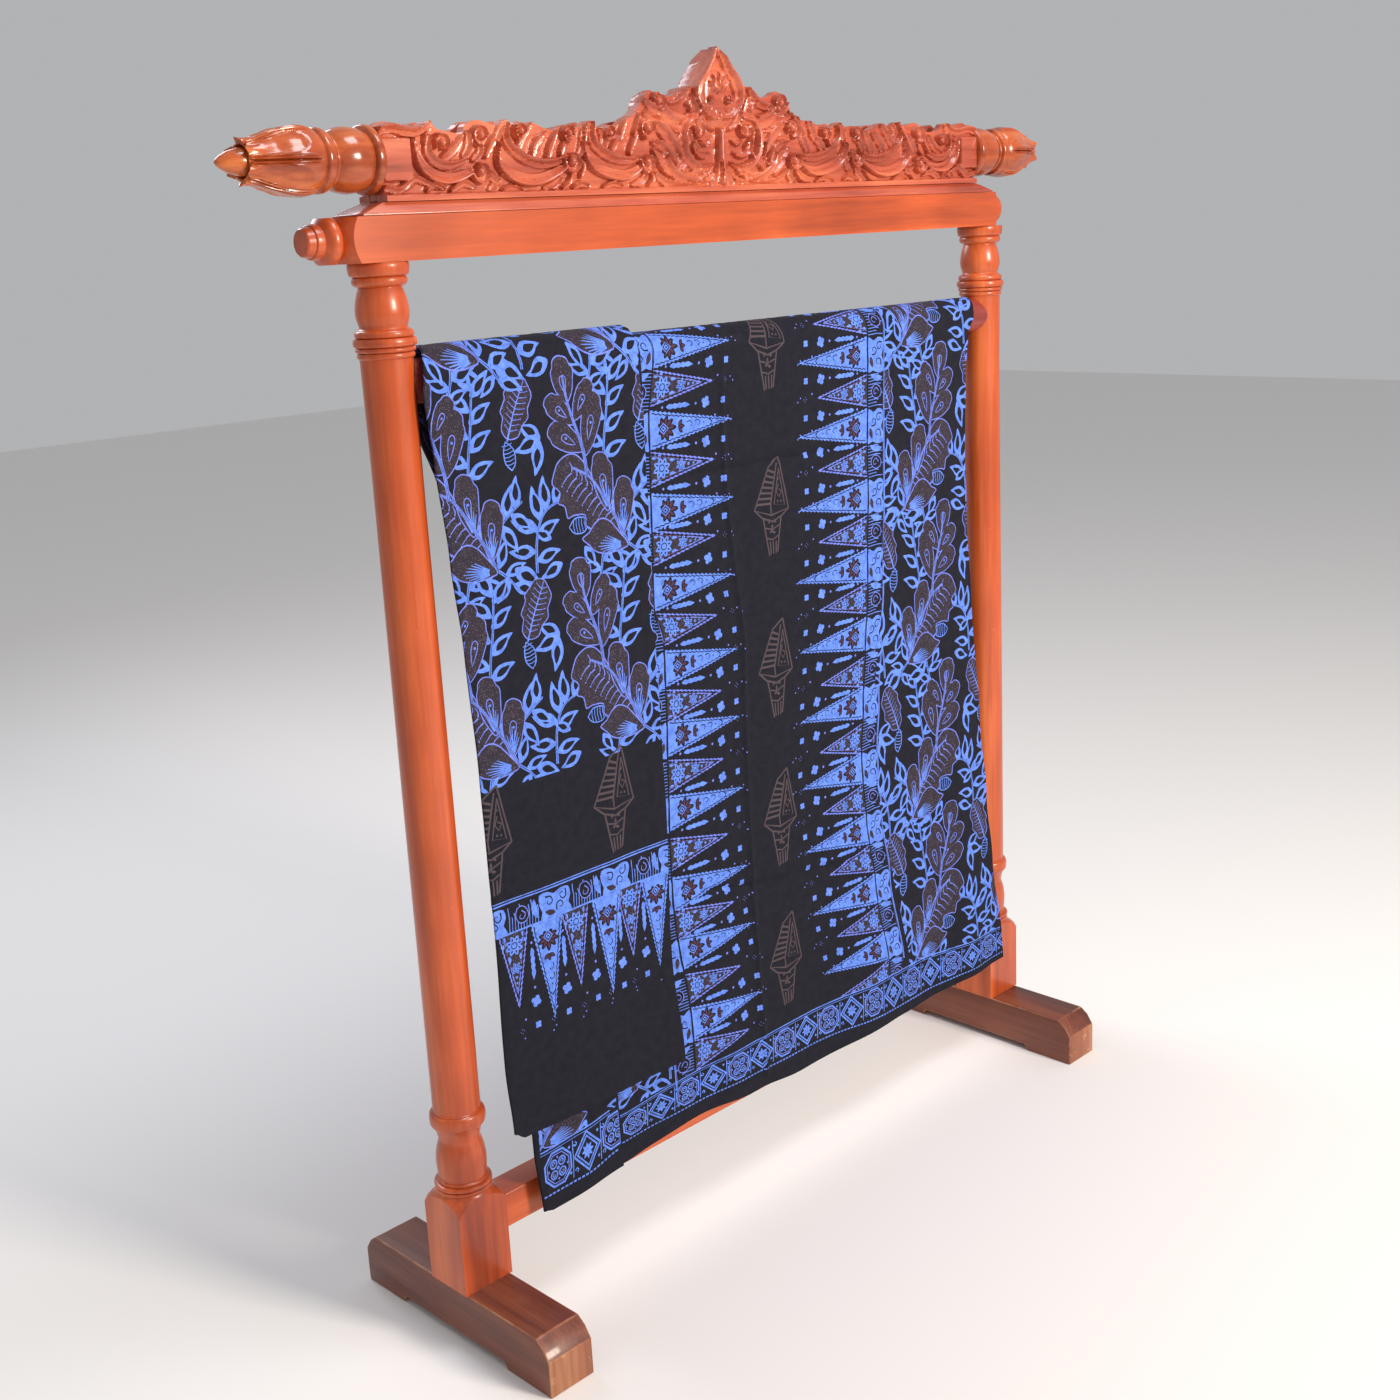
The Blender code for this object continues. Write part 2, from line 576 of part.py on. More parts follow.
def make_leaf(name: str, leaf: Leaf) -> bpy.types.Object:
    """A closed sheet of the cloth's thickness over the grid of a leaf."""
    grid = leaf_grid(leaf)
    last_column, last_row = len(grid) - 1, len(grid[0]) - 1
    builder = bmesh.new()
    skins = []
    for side in (-1.0, 1.0):
        skin = []
        for c, line in enumerate(grid):
            column = []
            for r, point in enumerate(line):
                across = grid[min(c + 1, last_column)][r] - grid[max(c - 1, 0)][r]
                along = line[min(r + 1, last_row)] - line[max(r - 1, 0)]
                normal = across.cross(along).normalized()
                column.append(builder.verts.new(point + normal * (side * CLOTH_THICKNESS / 2.0)))
            skin.append(column)
        skins.append(skin)
    inner, outer = skins
    for skin in skins:
        for c in range(last_column):
            for r in range(last_row):
                builder.faces.new((skin[c][r], skin[c + 1][r], skin[c + 1][r + 1], skin[c][r + 1]))
    for c in range(last_column):
        for r in (0, last_row):
            builder.faces.new((inner[c][r], inner[c + 1][r], outer[c + 1][r], outer[c][r]))
    for r in range(last_row):
        for c in (0, last_column):
            builder.faces.new((inner[c][r], inner[c][r + 1], outer[c][r + 1], outer[c][r]))
    return new_object(name, builder, COTTON, smooth=60.0)


def make_cloth() -> None:
    """The wide leaf with its turned flap, and the narrower leaf that hangs over it."""
    make_leaf("cloth_wide_leaf", Leaf(
        right=(WIDE_RIGHT_EDGE, WIDE_BACK_RIGHT_EDGE),
        left=(WIDE_LEFT_EDGE, WIDE_BACK_LEFT_EDGE),
        turned=(FLAP_RIGHT_EDGE, FLAP_BACK_RIGHT_EDGE),
        hem=WIDE_HEM,
        back_hem_z=WIDE_BACK_HEM_Z,
        columns=(WIDE_COLUMNS, FLAP_COLUMNS),
        layers=(0.0, LAYER_STEP),
    ))
    make_leaf("cloth_over_leaf", Leaf(
        right=(OVER_RIGHT_EDGE, OVER_BACK_RIGHT_EDGE),
        left=(OVER_LEFT_EDGE, OVER_BACK_LEFT_EDGE),
        turned=(OVER_UNDER_EDGE, OVER_BACK_UNDER_EDGE),
        hem=OVER_HEM,
        back_hem_z=OVER_BACK_HEM_Z,
        columns=(OVER_COLUMNS, UNDER_COLUMNS),
        layers=(3.0 * LAYER_STEP, 2.0 * LAYER_STEP),
    ))


def main() -> None:
    """Model the whole stand with its cloth."""
    clear_scene()
    for side, centre_x in (("left", LEFT_POST_X), ("right", RIGHT_POST_X)):
        make_foot(f"foot_{side}", centre_x)
        make_post(f"post_{side}", centre_x)
    make_box(
        "stretcher",
        (LEFT_POST_X + BLOCK_HALF_X + GAP, -STRETCHER_HALF_DEPTH, STRETCHER_BOTTOM_Z),
        (RIGHT_POST_X - BLOCK_HALF_X - GAP, STRETCHER_HALF_DEPTH, STRETCHER_TOP_Z),
    )
    make_rod()
    make_rail()
    make_plate()
    make_box(
        "crest_core",
        (-CREST_HALF_LENGTH, -CREST_CORE_HALF_DEPTH, CREST_BOTTOM_Z),
        (CREST_HALF_LENGTH, CREST_CORE_HALF_DEPTH, CREST_CORE_TOP_Z),
    )
    make_crest_board("crest_board_front", -1)
    make_crest_board("crest_board_back", 1)
    make_finial("finial_left", -1)
    make_finial("finial_right", 1)
    make_cloth()


main()
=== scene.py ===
"""Visual model of a stamped batik cloth hung on a carved wooden stand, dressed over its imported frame.

Metres, +Z up, X along the stand, the printed face of the cloth towards -Y. Designs of the print are
drawn in millimetres of flat cloth and stamped on leaves that are measured in metres.
"""

import json
import logging
import math
import random
from dataclasses import dataclass, field
from enum import Enum
from typing import Callable, Sequence

import bmesh
import bpy
import numpy as np
from mathutils import Matrix, Vector
from mathutils.geometry import delaunay_2d_cdt
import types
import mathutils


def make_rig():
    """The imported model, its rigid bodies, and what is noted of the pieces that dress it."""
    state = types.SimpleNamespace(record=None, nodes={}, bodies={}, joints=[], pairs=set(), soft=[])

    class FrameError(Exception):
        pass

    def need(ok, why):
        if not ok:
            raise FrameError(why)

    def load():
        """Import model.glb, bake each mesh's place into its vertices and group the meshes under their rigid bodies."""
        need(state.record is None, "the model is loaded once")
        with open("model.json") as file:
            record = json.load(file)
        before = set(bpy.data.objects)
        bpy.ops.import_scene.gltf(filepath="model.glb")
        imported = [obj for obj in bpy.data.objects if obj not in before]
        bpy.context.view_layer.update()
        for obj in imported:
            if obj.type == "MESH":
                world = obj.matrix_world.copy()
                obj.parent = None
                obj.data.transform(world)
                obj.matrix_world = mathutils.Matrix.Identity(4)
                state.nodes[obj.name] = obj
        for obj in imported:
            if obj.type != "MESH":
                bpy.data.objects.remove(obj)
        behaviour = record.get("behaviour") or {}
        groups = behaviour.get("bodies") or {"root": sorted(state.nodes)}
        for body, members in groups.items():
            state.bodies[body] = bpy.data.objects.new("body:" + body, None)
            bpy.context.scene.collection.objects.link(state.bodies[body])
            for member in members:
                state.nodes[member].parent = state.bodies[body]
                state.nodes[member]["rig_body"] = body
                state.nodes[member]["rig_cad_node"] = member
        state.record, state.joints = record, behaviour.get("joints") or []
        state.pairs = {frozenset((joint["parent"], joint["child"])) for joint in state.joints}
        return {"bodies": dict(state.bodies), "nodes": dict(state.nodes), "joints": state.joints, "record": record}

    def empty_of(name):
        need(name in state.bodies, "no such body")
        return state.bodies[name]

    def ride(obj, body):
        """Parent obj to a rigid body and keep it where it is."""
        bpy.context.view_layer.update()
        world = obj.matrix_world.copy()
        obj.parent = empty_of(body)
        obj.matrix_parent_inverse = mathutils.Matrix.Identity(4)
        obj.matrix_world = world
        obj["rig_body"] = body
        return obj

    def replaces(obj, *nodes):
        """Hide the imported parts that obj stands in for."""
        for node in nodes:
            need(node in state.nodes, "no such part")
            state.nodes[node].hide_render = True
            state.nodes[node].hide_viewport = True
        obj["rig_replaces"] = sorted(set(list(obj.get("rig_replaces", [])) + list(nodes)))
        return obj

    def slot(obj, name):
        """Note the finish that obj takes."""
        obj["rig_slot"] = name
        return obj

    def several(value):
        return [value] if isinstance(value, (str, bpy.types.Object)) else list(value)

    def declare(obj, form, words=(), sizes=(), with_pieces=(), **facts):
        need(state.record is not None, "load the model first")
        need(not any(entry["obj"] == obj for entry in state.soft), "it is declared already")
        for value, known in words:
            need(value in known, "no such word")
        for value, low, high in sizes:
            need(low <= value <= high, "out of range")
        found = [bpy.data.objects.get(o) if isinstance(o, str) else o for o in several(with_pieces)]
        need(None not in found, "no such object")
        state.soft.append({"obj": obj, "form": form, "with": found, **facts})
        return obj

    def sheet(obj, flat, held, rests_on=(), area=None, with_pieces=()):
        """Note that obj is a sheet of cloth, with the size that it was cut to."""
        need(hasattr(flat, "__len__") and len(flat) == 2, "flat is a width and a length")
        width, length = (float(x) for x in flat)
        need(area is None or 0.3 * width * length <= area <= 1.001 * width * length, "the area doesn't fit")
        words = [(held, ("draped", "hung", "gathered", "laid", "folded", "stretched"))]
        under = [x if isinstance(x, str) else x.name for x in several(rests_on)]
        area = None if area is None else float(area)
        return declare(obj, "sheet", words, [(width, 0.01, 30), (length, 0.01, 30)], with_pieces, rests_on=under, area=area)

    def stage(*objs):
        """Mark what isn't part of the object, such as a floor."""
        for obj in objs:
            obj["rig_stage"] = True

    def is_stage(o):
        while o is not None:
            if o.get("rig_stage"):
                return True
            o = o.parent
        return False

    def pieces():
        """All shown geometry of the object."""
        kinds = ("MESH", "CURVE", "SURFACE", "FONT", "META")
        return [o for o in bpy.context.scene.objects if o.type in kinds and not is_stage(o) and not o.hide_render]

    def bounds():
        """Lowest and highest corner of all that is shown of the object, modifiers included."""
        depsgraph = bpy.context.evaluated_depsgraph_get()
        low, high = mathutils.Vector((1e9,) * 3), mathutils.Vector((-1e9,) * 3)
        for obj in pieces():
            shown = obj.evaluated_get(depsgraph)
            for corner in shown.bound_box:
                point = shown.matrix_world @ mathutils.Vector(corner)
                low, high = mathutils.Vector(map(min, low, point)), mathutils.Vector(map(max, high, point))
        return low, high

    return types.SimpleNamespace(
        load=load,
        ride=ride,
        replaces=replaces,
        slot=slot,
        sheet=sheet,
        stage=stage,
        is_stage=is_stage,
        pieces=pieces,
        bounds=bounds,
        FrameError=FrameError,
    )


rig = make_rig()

LOG = logging.getLogger("batik_stand")
Loop = list[tuple[float, float]]
Table = tuple[tuple[float, float], ...]
Spots = Sequence[tuple[float, float]]
Place = Callable[[float, float], tuple[float, float]]
MM = 1000.0  # millimetres in a metre


def linear(code: str) -> tuple[float, float, float, float]:
    """Turn an sRGB hex value into a linear colour.

    Args:
        code: six hex digits.

    Returns:
        The linear colour with alpha 1.
    """
    parts = [int(code[i:i + 2], 16) / 255.0 for i in (0, 2, 4)]
    lit = [p / 12.92 if p <= 0.04045 else ((p + 0.055) / 1.055) ** 2.4 for p in parts]
    return (lit[0], lit[1], lit[2], 1.0)


def node(tree: bpy.types.NodeTree, kind: str, settings: dict | None = None, **links: object) -> bpy.types.Node:
    """Add a shader node.

    Args:
        tree: the node tree it goes into.
        kind: the node's type name.
        settings: attributes of the node to set.
        links: socket names (spaces as underscores) with a value, or a socket to link from.

    Returns:
        The new node.
    """
    made = tree.nodes.new(kind)
    for key, value in (settings or {}).items():
        setattr(made, key, value)
    for key, value in links.items():
        wanted = key.replace("_", " ").strip()
        socket = made.inputs[int(wanted[1:])] if wanted[0] == "n" and wanted[1:].isdigit() else made.inputs[wanted]
        if isinstance(value, bpy.types.NodeSocket):
            tree.links.new(value, socket)
        else:
            socket.default_value = value
    return made


def ramp(tree: bpy.types.NodeTree, source: bpy.types.NodeSocket,
         stops: Sequence[tuple[float, tuple]]) -> bpy.types.NodeSocket:
    """Map a value through colour stops.

    Args:
        tree: the node tree.
        source: the value.
        stops: (position, colour) pairs in order.

    Returns:
        The colour socket.
    """
    made = node(tree, "ShaderNodeValToRGB", Fac=source)
    elements = made.color_ramp.elements
    while len(elements) < len(stops):
        elements.new(0.5)
    for element, (position, colour) in zip(elements, stops):
        element.position = position
        element.color = colour
    return made.outputs["Color"]


def table_value(table: Table, at: float) -> float:
    """Read a table of (key, value) rows with smooth steps between the rows."""
    if at <= table[0][0]:
        return table[0][1]
    for (key_a, value_a), (key_b, value_b) in zip(table, table[1:]):
        if at <= key_b:
            share = (at - key_a) / (key_b - key_a)
            return value_a + (value_b - value_a) * share * share * (3.0 - 2.0 * share)
    return table[-1][1]


# ---------------------------------------------------------------- finishes


class GrainAxis(Enum):
    """Direction of a piece's wood grain: the noise runs slowly along it and fast across it."""

    X = (1.4, 26.0, 26.0)
    Y = (26.0, 1.4, 26.0)
    Z = (26.0, 26.0, 1.4)


@dataclass(frozen=True)
class LacqueredHardwood:
    """Red-brown stained hardwood under clear lacquer: the eye sees long soft grain streaks below a sharp gloss."""

    name: str
    dark: str
    middle: str
    light: str
    axis: GrainAxis
    roughness: float = 0.30
    grain_bump: float = 0.05
    streaks: float = 0.28
    wear: float = 0.69

    def build(self) -> bpy.types.Material:
        """Make the material.

        Returns:
            The material.
        """
        material = bpy.data.materials.new(self.name)
        material.use_nodes = True
        tree = material.node_tree
        shader = tree.nodes["Principled BSDF"]
        place = node(tree, "ShaderNodeTexCoord").outputs["Object"]
        along = node(tree, "ShaderNodeMapping", Vector=place, Scale=self.axis.value).outputs[0]
        broad = node(tree, "ShaderNodeTexNoise", Vector=along, Scale=0.55, Detail=4.0, Roughness=0.55, Distortion=0.8)
        fine = node(tree, "ShaderNodeTexNoise", Vector=along, Scale=7.0, Detail=3.0, Roughness=0.6)
        cloud = node(tree, "ShaderNodeTexNoise", Vector=place, Scale=6.0, Detail=2.0)
        sum_1 = node(tree, "ShaderNodeMath", {"operation": "MULTIPLY_ADD"}, n0=fine.outputs["Fac"], n1=self.streaks,
                     n2=broad.outputs["Fac"])
        sum_2 = node(tree, "ShaderNodeMath", {"operation": "MULTIPLY_ADD"}, n0=cloud.outputs["Fac"], n1=0.30,
                     n2=sum_1.outputs[0])
        stops = ((0.52, linear(self.dark)), (0.78, linear(self.middle)), (1.0, linear(self.light)))
        colour = ramp(tree, sum_2.outputs[0], stops)
        worn = node(tree, "ShaderNodeTexNoise", Vector=place, Scale=55.0, Detail=5.0, Roughness=0.7)
        flecks = ramp(tree, worn.outputs["Fac"], ((self.wear, (0, 0, 0, 1)), (self.wear + 0.05, (1, 1, 1, 1))))
        mixed = node(tree, "ShaderNodeMix", {"data_type": "RGBA"}, Factor=flecks)
        tree.links.new(colour, mixed.inputs[6])
        mixed.inputs[7].default_value = linear(self.light)
        tree.links.new(mixed.outputs[2], shader.inputs["Base Color"])
        gloss = node(tree, "ShaderNodeMapRange", Value=cloud.outputs["Fac"], To_Min=self.roughness - 0.05,
                     To_Max=self.roughness + 0.10)
        tree.links.new(gloss.outputs[0], shader.inputs["Roughness"])
        bump = node(tree, "ShaderNodeBump", Strength=self.grain_bump, Distance=0.0006, Height=fine.outputs["Fac"])
        tree.links.new(bump.outputs[0], shader.inputs["Normal"])
        shader.inputs["IOR"].default_value = 1.5
        shader.inputs["Coat Weight"].default_value = 0.22
        shader.inputs["Coat Roughness"].default_value = 0.10
        return material


class Dye(Enum):
    """Colours that the wax and the dye baths leave on the cotton, in the order they lie over one another."""

    GROUND = "1e1e28"
    BLUE = "6389ec"
    PALE = "6f80e2"
    STIPPLE = "342f3a"
    BROWN = "4c3446"
    FAINT = "4e444a"


@dataclass(frozen=True)
class DyedCotton:
    """Plain-woven cotton dyed in wax resist: matt, faintly furry, its blue mottled and veined by cracks in the wax."""

    dye: Dye
    thread_mm: float = 0.7  # real threads are 0.35 mm apart, drawn coarser so that the weave shows

    def build(self) -> bpy.types.Material:
        """Make the material.

        Returns:
            The material.
        """
        material = bpy.data.materials.new(f"dyed_cotton_{self.dye.name.lower()}")
        material.use_nodes = True
        tree = material.node_tree
        shader = tree.nodes["Principled BSDF"]
        flat = node(tree, "ShaderNodeUVMap", {"uv_map": "flat_cloth"}).outputs[0]
        base = linear(self.dye.value)
        uneven = 0.22 if self.dye in (Dye.BLUE, Dye.PALE) else 0.10
        mottle = node(tree, "ShaderNodeTexNoise", Vector=flat, Scale=70.0, Detail=5.0, Roughness=0.65)
        deep = tuple(c * (1.0 - uneven) for c in base[:3]) + (1.0,)
        pale = tuple(min(1.0, c * (1.0 + 0.6 * uneven) + 0.02 * uneven) for c in base[:3]) + (1.0,)
        colour = ramp(tree, mottle.outputs["Fac"], ((0.36, deep), (0.64, pale)))
        if self.dye is Dye.STIPPLE:
            spots = node(tree, "ShaderNodeTexVoronoi", Vector=flat, Scale=470.0, Randomness=0.8)
            share = ramp(tree, spots.outputs["Distance"], ((0.18, (1, 1, 1, 1)), (0.30, (0, 0, 0, 1))))
            over = node(tree, "ShaderNodeMix", {"data_type": "RGBA"}, Factor=share)
            tree.links.new(colour, over.inputs[6])
            over.inputs[7].default_value = linear("746a7c")
            colour = over.outputs[2]
        if self.dye in (Dye.BLUE, Dye.PALE):
            cracks = node(tree, "ShaderNodeTexVoronoi", {"feature": "DISTANCE_TO_EDGE"}, Vector=flat, Scale=62.0)
            share = ramp(tree, cracks.outputs["Distance"], ((0.0, (0.42, 0.42, 0.42, 1)), (0.035, (0, 0, 0, 1))))
            over = node(tree, "ShaderNodeMix", {"data_type": "RGBA"}, Factor=share)
            tree.links.new(colour, over.inputs[6])
            over.inputs[7].default_value = linear("303c82")
            colour = over.outputs[2]
        tree.links.new(colour, shader.inputs["Base Color"])
        scale = math.tau / (20.0 * self.thread_mm / MM)
        weft = node(tree, "ShaderNodeTexWave", {"bands_direction": "X"}, Vector=flat, Scale=scale, Distortion=0.4)
        warp = node(tree, "ShaderNodeTexWave", {"bands_direction": "Y"}, Vector=flat, Scale=scale, Distortion=0.4)
        weave = node(tree, "ShaderNodeMath", {"operation": "MULTIPLY"}, n0=weft.outputs["Fac"],
                     n1=warp.outputs["Fac"])
        bump = node(tree, "ShaderNodeBump", Strength=0.25, Distance=0.0003, Height=weave.outputs[0])
        tree.links.new(bump.outputs[0], shader.inputs["Normal"])
        shader.inputs["Roughness"].default_value = 0.88
        shader.inputs["Sheen Weight"].default_value = 0.02
        shader.inputs["Sheen Roughness"].default_value = 0.5
        shader.inputs["Specular IOR Level"].default_value = 0.08
        return material


# ---------------------------------------------------------------- drawing the print

# sizes of the designs: lengths in mm; pitches and cells in metres
LONG_LENGTH, SHORT_LENGTH = 155.0, 120.0
LANTERN_HEIGHT, BORDER_HEIGHT = 155.0, 54.0
STRIP_PITCH, BORDER_PITCH, CELL_WIDTH = 0.112, 0.108, 0.226
COLUMN_ROOM = 0.04


def smooth(points: Spots, closed: bool, per: int = 3) -> Loop:
    """Run a smooth curve through points.

    Args:
        points: the points.
        closed: whether the curve closes.
        per: new points for each given one.

    Returns:
        The curve's points.
    """
    count = len(points)
    last = count if closed else count - 1
    made = []
    for i in range(last):
        ids = (i - 1, i, i + 1, i + 2)
        a, b, c, d = [points[k % count] if closed else points[min(max(k, 0), count - 1)] for k in ids]
        for step in range(per):
            t = step / per
            made.append(tuple(
                0.5 * (2 * b[k] + (c[k] - a[k]) * t + (2 * a[k] - 5 * b[k] + 4 * c[k] - d[k]) * t * t
                       + (3 * b[k] - a[k] - 3 * c[k] + d[k]) * t ** 3) for k in (0, 1)))
    if not closed:
        made.append(tuple(points[-1]))
    return made


def inset(points: Loop, distance: float) -> Loop:
    """Shrink a loop by a distance along its corners' normals."""
    area = sum(a[0] * b[1] - b[0] * a[1] for a, b in zip(points, points[1:] + points[:1]))
    sign = 1.0 if area > 0 else -1.0
    made = []
    count = len(points)
    for i, (x, y) in enumerate(points):
        ax, ay = points[i - 1]
        bx, by = points[(i + 1) % count]
        dx, dy = bx - ax, by - ay
        size = math.hypot(dx, dy) or 1.0
        made.append((x - sign * dy / size * distance, y + sign * dx / size * distance))
    return made


def ribbon(points: Loop, start: float, end: float) -> Loop:
    """Outline of a line whose width runs from start to end."""
    left, right = [], []
    count = len(points)
    for i, (x, y) in enumerate(points):
        ax, ay = points[max(i - 1, 0)]
        bx, by = points[min(i + 1, count - 1)]
        dx, dy = bx - ax, by - ay
        size = math.hypot(dx, dy) or 1.0
        half = (start + (end - start) * i / (count - 1)) / 2.0
        left.append((x - dy / size * half, y + dx / size * half))
        right.append((x + dy / size * half, y - dx / size * half))
    return left + right[::-1]


def band(run: Sequence[float], off: float, width: float, upright: bool = False) -> Loop:
    """Outline of a straight band of one width along x, or along y when upright."""
    made = [(place, off) for place in run] + [(place, off + width) for place in reversed(run)]
    return [(b, a) for a, b in made] if upright else made


@dataclass
class Stamp:
    """A copper stamp's design: dyed loops in millimetres, drawn one over another."""

    shapes: list[tuple[Dye, Loop]] = field(default_factory=list)

    def fill(self, dye: Dye, points: Spots) -> None:
        """Add a loop with straight sides."""
        self.shapes.append((dye, list(points)))

    def soft(self, dye: Dye, points: Spots, per: int = 3) -> Loop:
        """Add a smooth loop and return its outline."""
        outline = smooth(points, True, per)
        self.fill(dye, outline)
        return outline

    def line(self, dye: Dye, points: Spots, start: float, end: float | None = None, per: int = 3) -> None:
        """Add a smooth line of one width or of two."""
        self.fill(dye, ribbon(smooth(points, False, per), start, start if end is None else end))

    def dot(self, dye: Dye, x: float, y: float, radius: float, sides: int = 6) -> None:
        """Add a dot."""
        self.fill(dye, [(x + radius * math.cos(math.tau * k / sides), y + radius * math.sin(math.tau * k / sides))
                        for k in range(sides)])

    def add(self, other: "Stamp", x: float = 0.0, y: float = 0.0, turn: float = 0.0) -> None:
        """Add another design, moved and turned in degrees."""
        c, s = math.cos(math.radians(turn)), math.sin(math.radians(turn))
        for dye, points in other.shapes:
            self.fill(dye, [(x + px * c - py * s, y + px * s + py * c) for px, py in points])

    def outlined(self, points: Spots, line: float = 1.5, fill: Dye = Dye.STIPPLE) -> None:
        """Add a smooth loop with a pale outline and a dyed middle."""
        outline = self.soft(Dye.PALE, points)
        self.fill(fill, inset(outline, line))


def small_leaf(length: float, width: float, eye: float = 0.5) -> Stamp:
    """A pointed leaf from its stalk towards +x with a hollow almond eye, nearer one side than the other."""
    made = Stamp()
    shape = ((0.0, 0.0), (0.12, 0.26), (0.36, 0.50), (0.62, 0.46), (0.82, 0.26), (1.02, -0.04), (0.78, -0.18),
             (0.58, -0.42), (0.34, -0.50), (0.12, -0.28))
    made.soft(Dye.BLUE, [(x * length, y * width) for x, y in shape], 2)
    if eye > 0.0:
        hole = ((0.24, -0.06), (0.40, 0.24), (0.58, 0.22), (0.80, 0.02), (0.58, -0.22), (0.40, -0.26))
        made.soft(Dye.GROUND, [(x * length, (y * eye / 0.5) * width) for x, y in hole], 2)
    return made


def lobes(places: Sequence[tuple[float, float, float, float, float]]) -> Stamp:
    """Rounded lobes grown together into one wavy leaf, each with a teardrop curl inside.

    Args:
        places: (x, y, turn in degrees, length, width) of each lobe's foot.

    Returns:
        The design.
    """
    made, middles, drops = Stamp(), Stamp(), Stamp()
    shape = ((0.0, 0.10), (0.30, 0.40), (0.55, 0.50), (0.74, 0.50), (0.84, 0.40), (0.95, 0.32), (1.0, 0.04),
             (0.93, -0.30), (0.80, -0.40), (0.70, -0.52), (0.48, -0.46), (0.22, -0.34), (0.0, -0.08))
    for x, y, turn, length, width in places:
        rim, middle, drop = Stamp(), Stamp(), Stamp()
        outline = rim.soft(Dye.PALE, [(px * length, py * width) for px, py in shape])
        middle.fill(Dye.STIPPLE, inset(outline, 1.5))
        outline = drop.soft(Dye.PALE,
                            [(px * length, py * width) for px, py in ((0.22, 0.0), (0.42, 0.16), (0.58, 0.15),
                                (0.62, 0.0), (0.56, -0.13), (0.42, -0.12))], 2)
        drop.fill(Dye.STIPPLE, inset(outline, 1.3))
        drop.dot(Dye.BLUE, 0.50 * length, 0.0, width * 0.055, 5)
        made.add(rim, x, y, turn)
        middles.add(middle, x, y, turn)
        drops.add(drop, x, y, turn)
    made.add(middles)
    made.add(drops)
    return made


def hatched_tail(length: float, width: float) -> Stamp:
    """A curved crescent with rungs across it."""
    made = Stamp()
    back = [(0.0, 0.0), (0.35 * length, 0.55 * width), (0.8 * length, 0.45 * width), (length, 0.0)]
    made.line(Dye.BLUE, back, 1.6)
    made.line(Dye.BLUE, [(0.0, 0.0), (0.3 * length, -0.35 * width), (0.7 * length, -0.4 * width), (length, 0.0)], 1.6)
    for step in range(6):
        x = (0.15 + 0.13 * step) * length
        made.line(Dye.BLUE, [(x - 1.5, -0.38 * width), (x, 0.0), (x - 1.0, 0.5 * width)], 1.1, per=1)
    return made


def shell_leaf(length: float, width: float) -> Stamp:
    """A small wavy leaf with a rib, feathered by fine lines with beads."""
    made = Stamp()
    shape = ((0.0, 0.0), (0.10, 0.30), (0.28, 0.36), (0.36, 0.50), (0.56, 0.46), (0.66, 0.54), (0.84, 0.40),
             (0.96, 0.30), (1.0, 0.0), (0.90, -0.26), (0.78, -0.44), (0.58, -0.42), (0.44, -0.52), (0.28, -0.38),
             (0.10, -0.34))
    made.outlined([(x * length, y * width) for x, y in shape])
    for step in range(9):
        x = (0.14 + 0.088 * step) * length
        for side in (-1.0, 1.0):
            reach = side * width * 0.30 * (1.0 - abs(step - 4) * 0.07)
            made.line(Dye.PALE, [(x, 0.0), (x + 2.5, reach * 0.6), (x + 5.0, reach)], 1.3, 0.5, per=1)
            made.dot(Dye.PALE, x + 5.0, reach, 0.9, 5)
    made.line(Dye.BLUE, [(-2.0, 0.0), (0.4 * length, 1.5), (0.96 * length, -1.0)], 2.6, 1.0)
    return made


def sprig(stem: Spots, leaves: Sequence[tuple[float, float, float, float]]) -> Stamp:
    """A double-lined stem with its leaves.

    Args:
        stem: points of the stem.
        leaves: (x, y, turn in degrees, length) of each leaf's stalk end.

    Returns:
        The design.
    """
    made = Stamp()
    for x, y, turn, length in leaves:
        made.add(small_leaf(length, length * 0.43), x, y, turn)
    made.line(Dye.BLUE, stem, 4.4, 3.0)
    made.line(Dye.GROUND, stem, 1.0, 0.5)
    return made


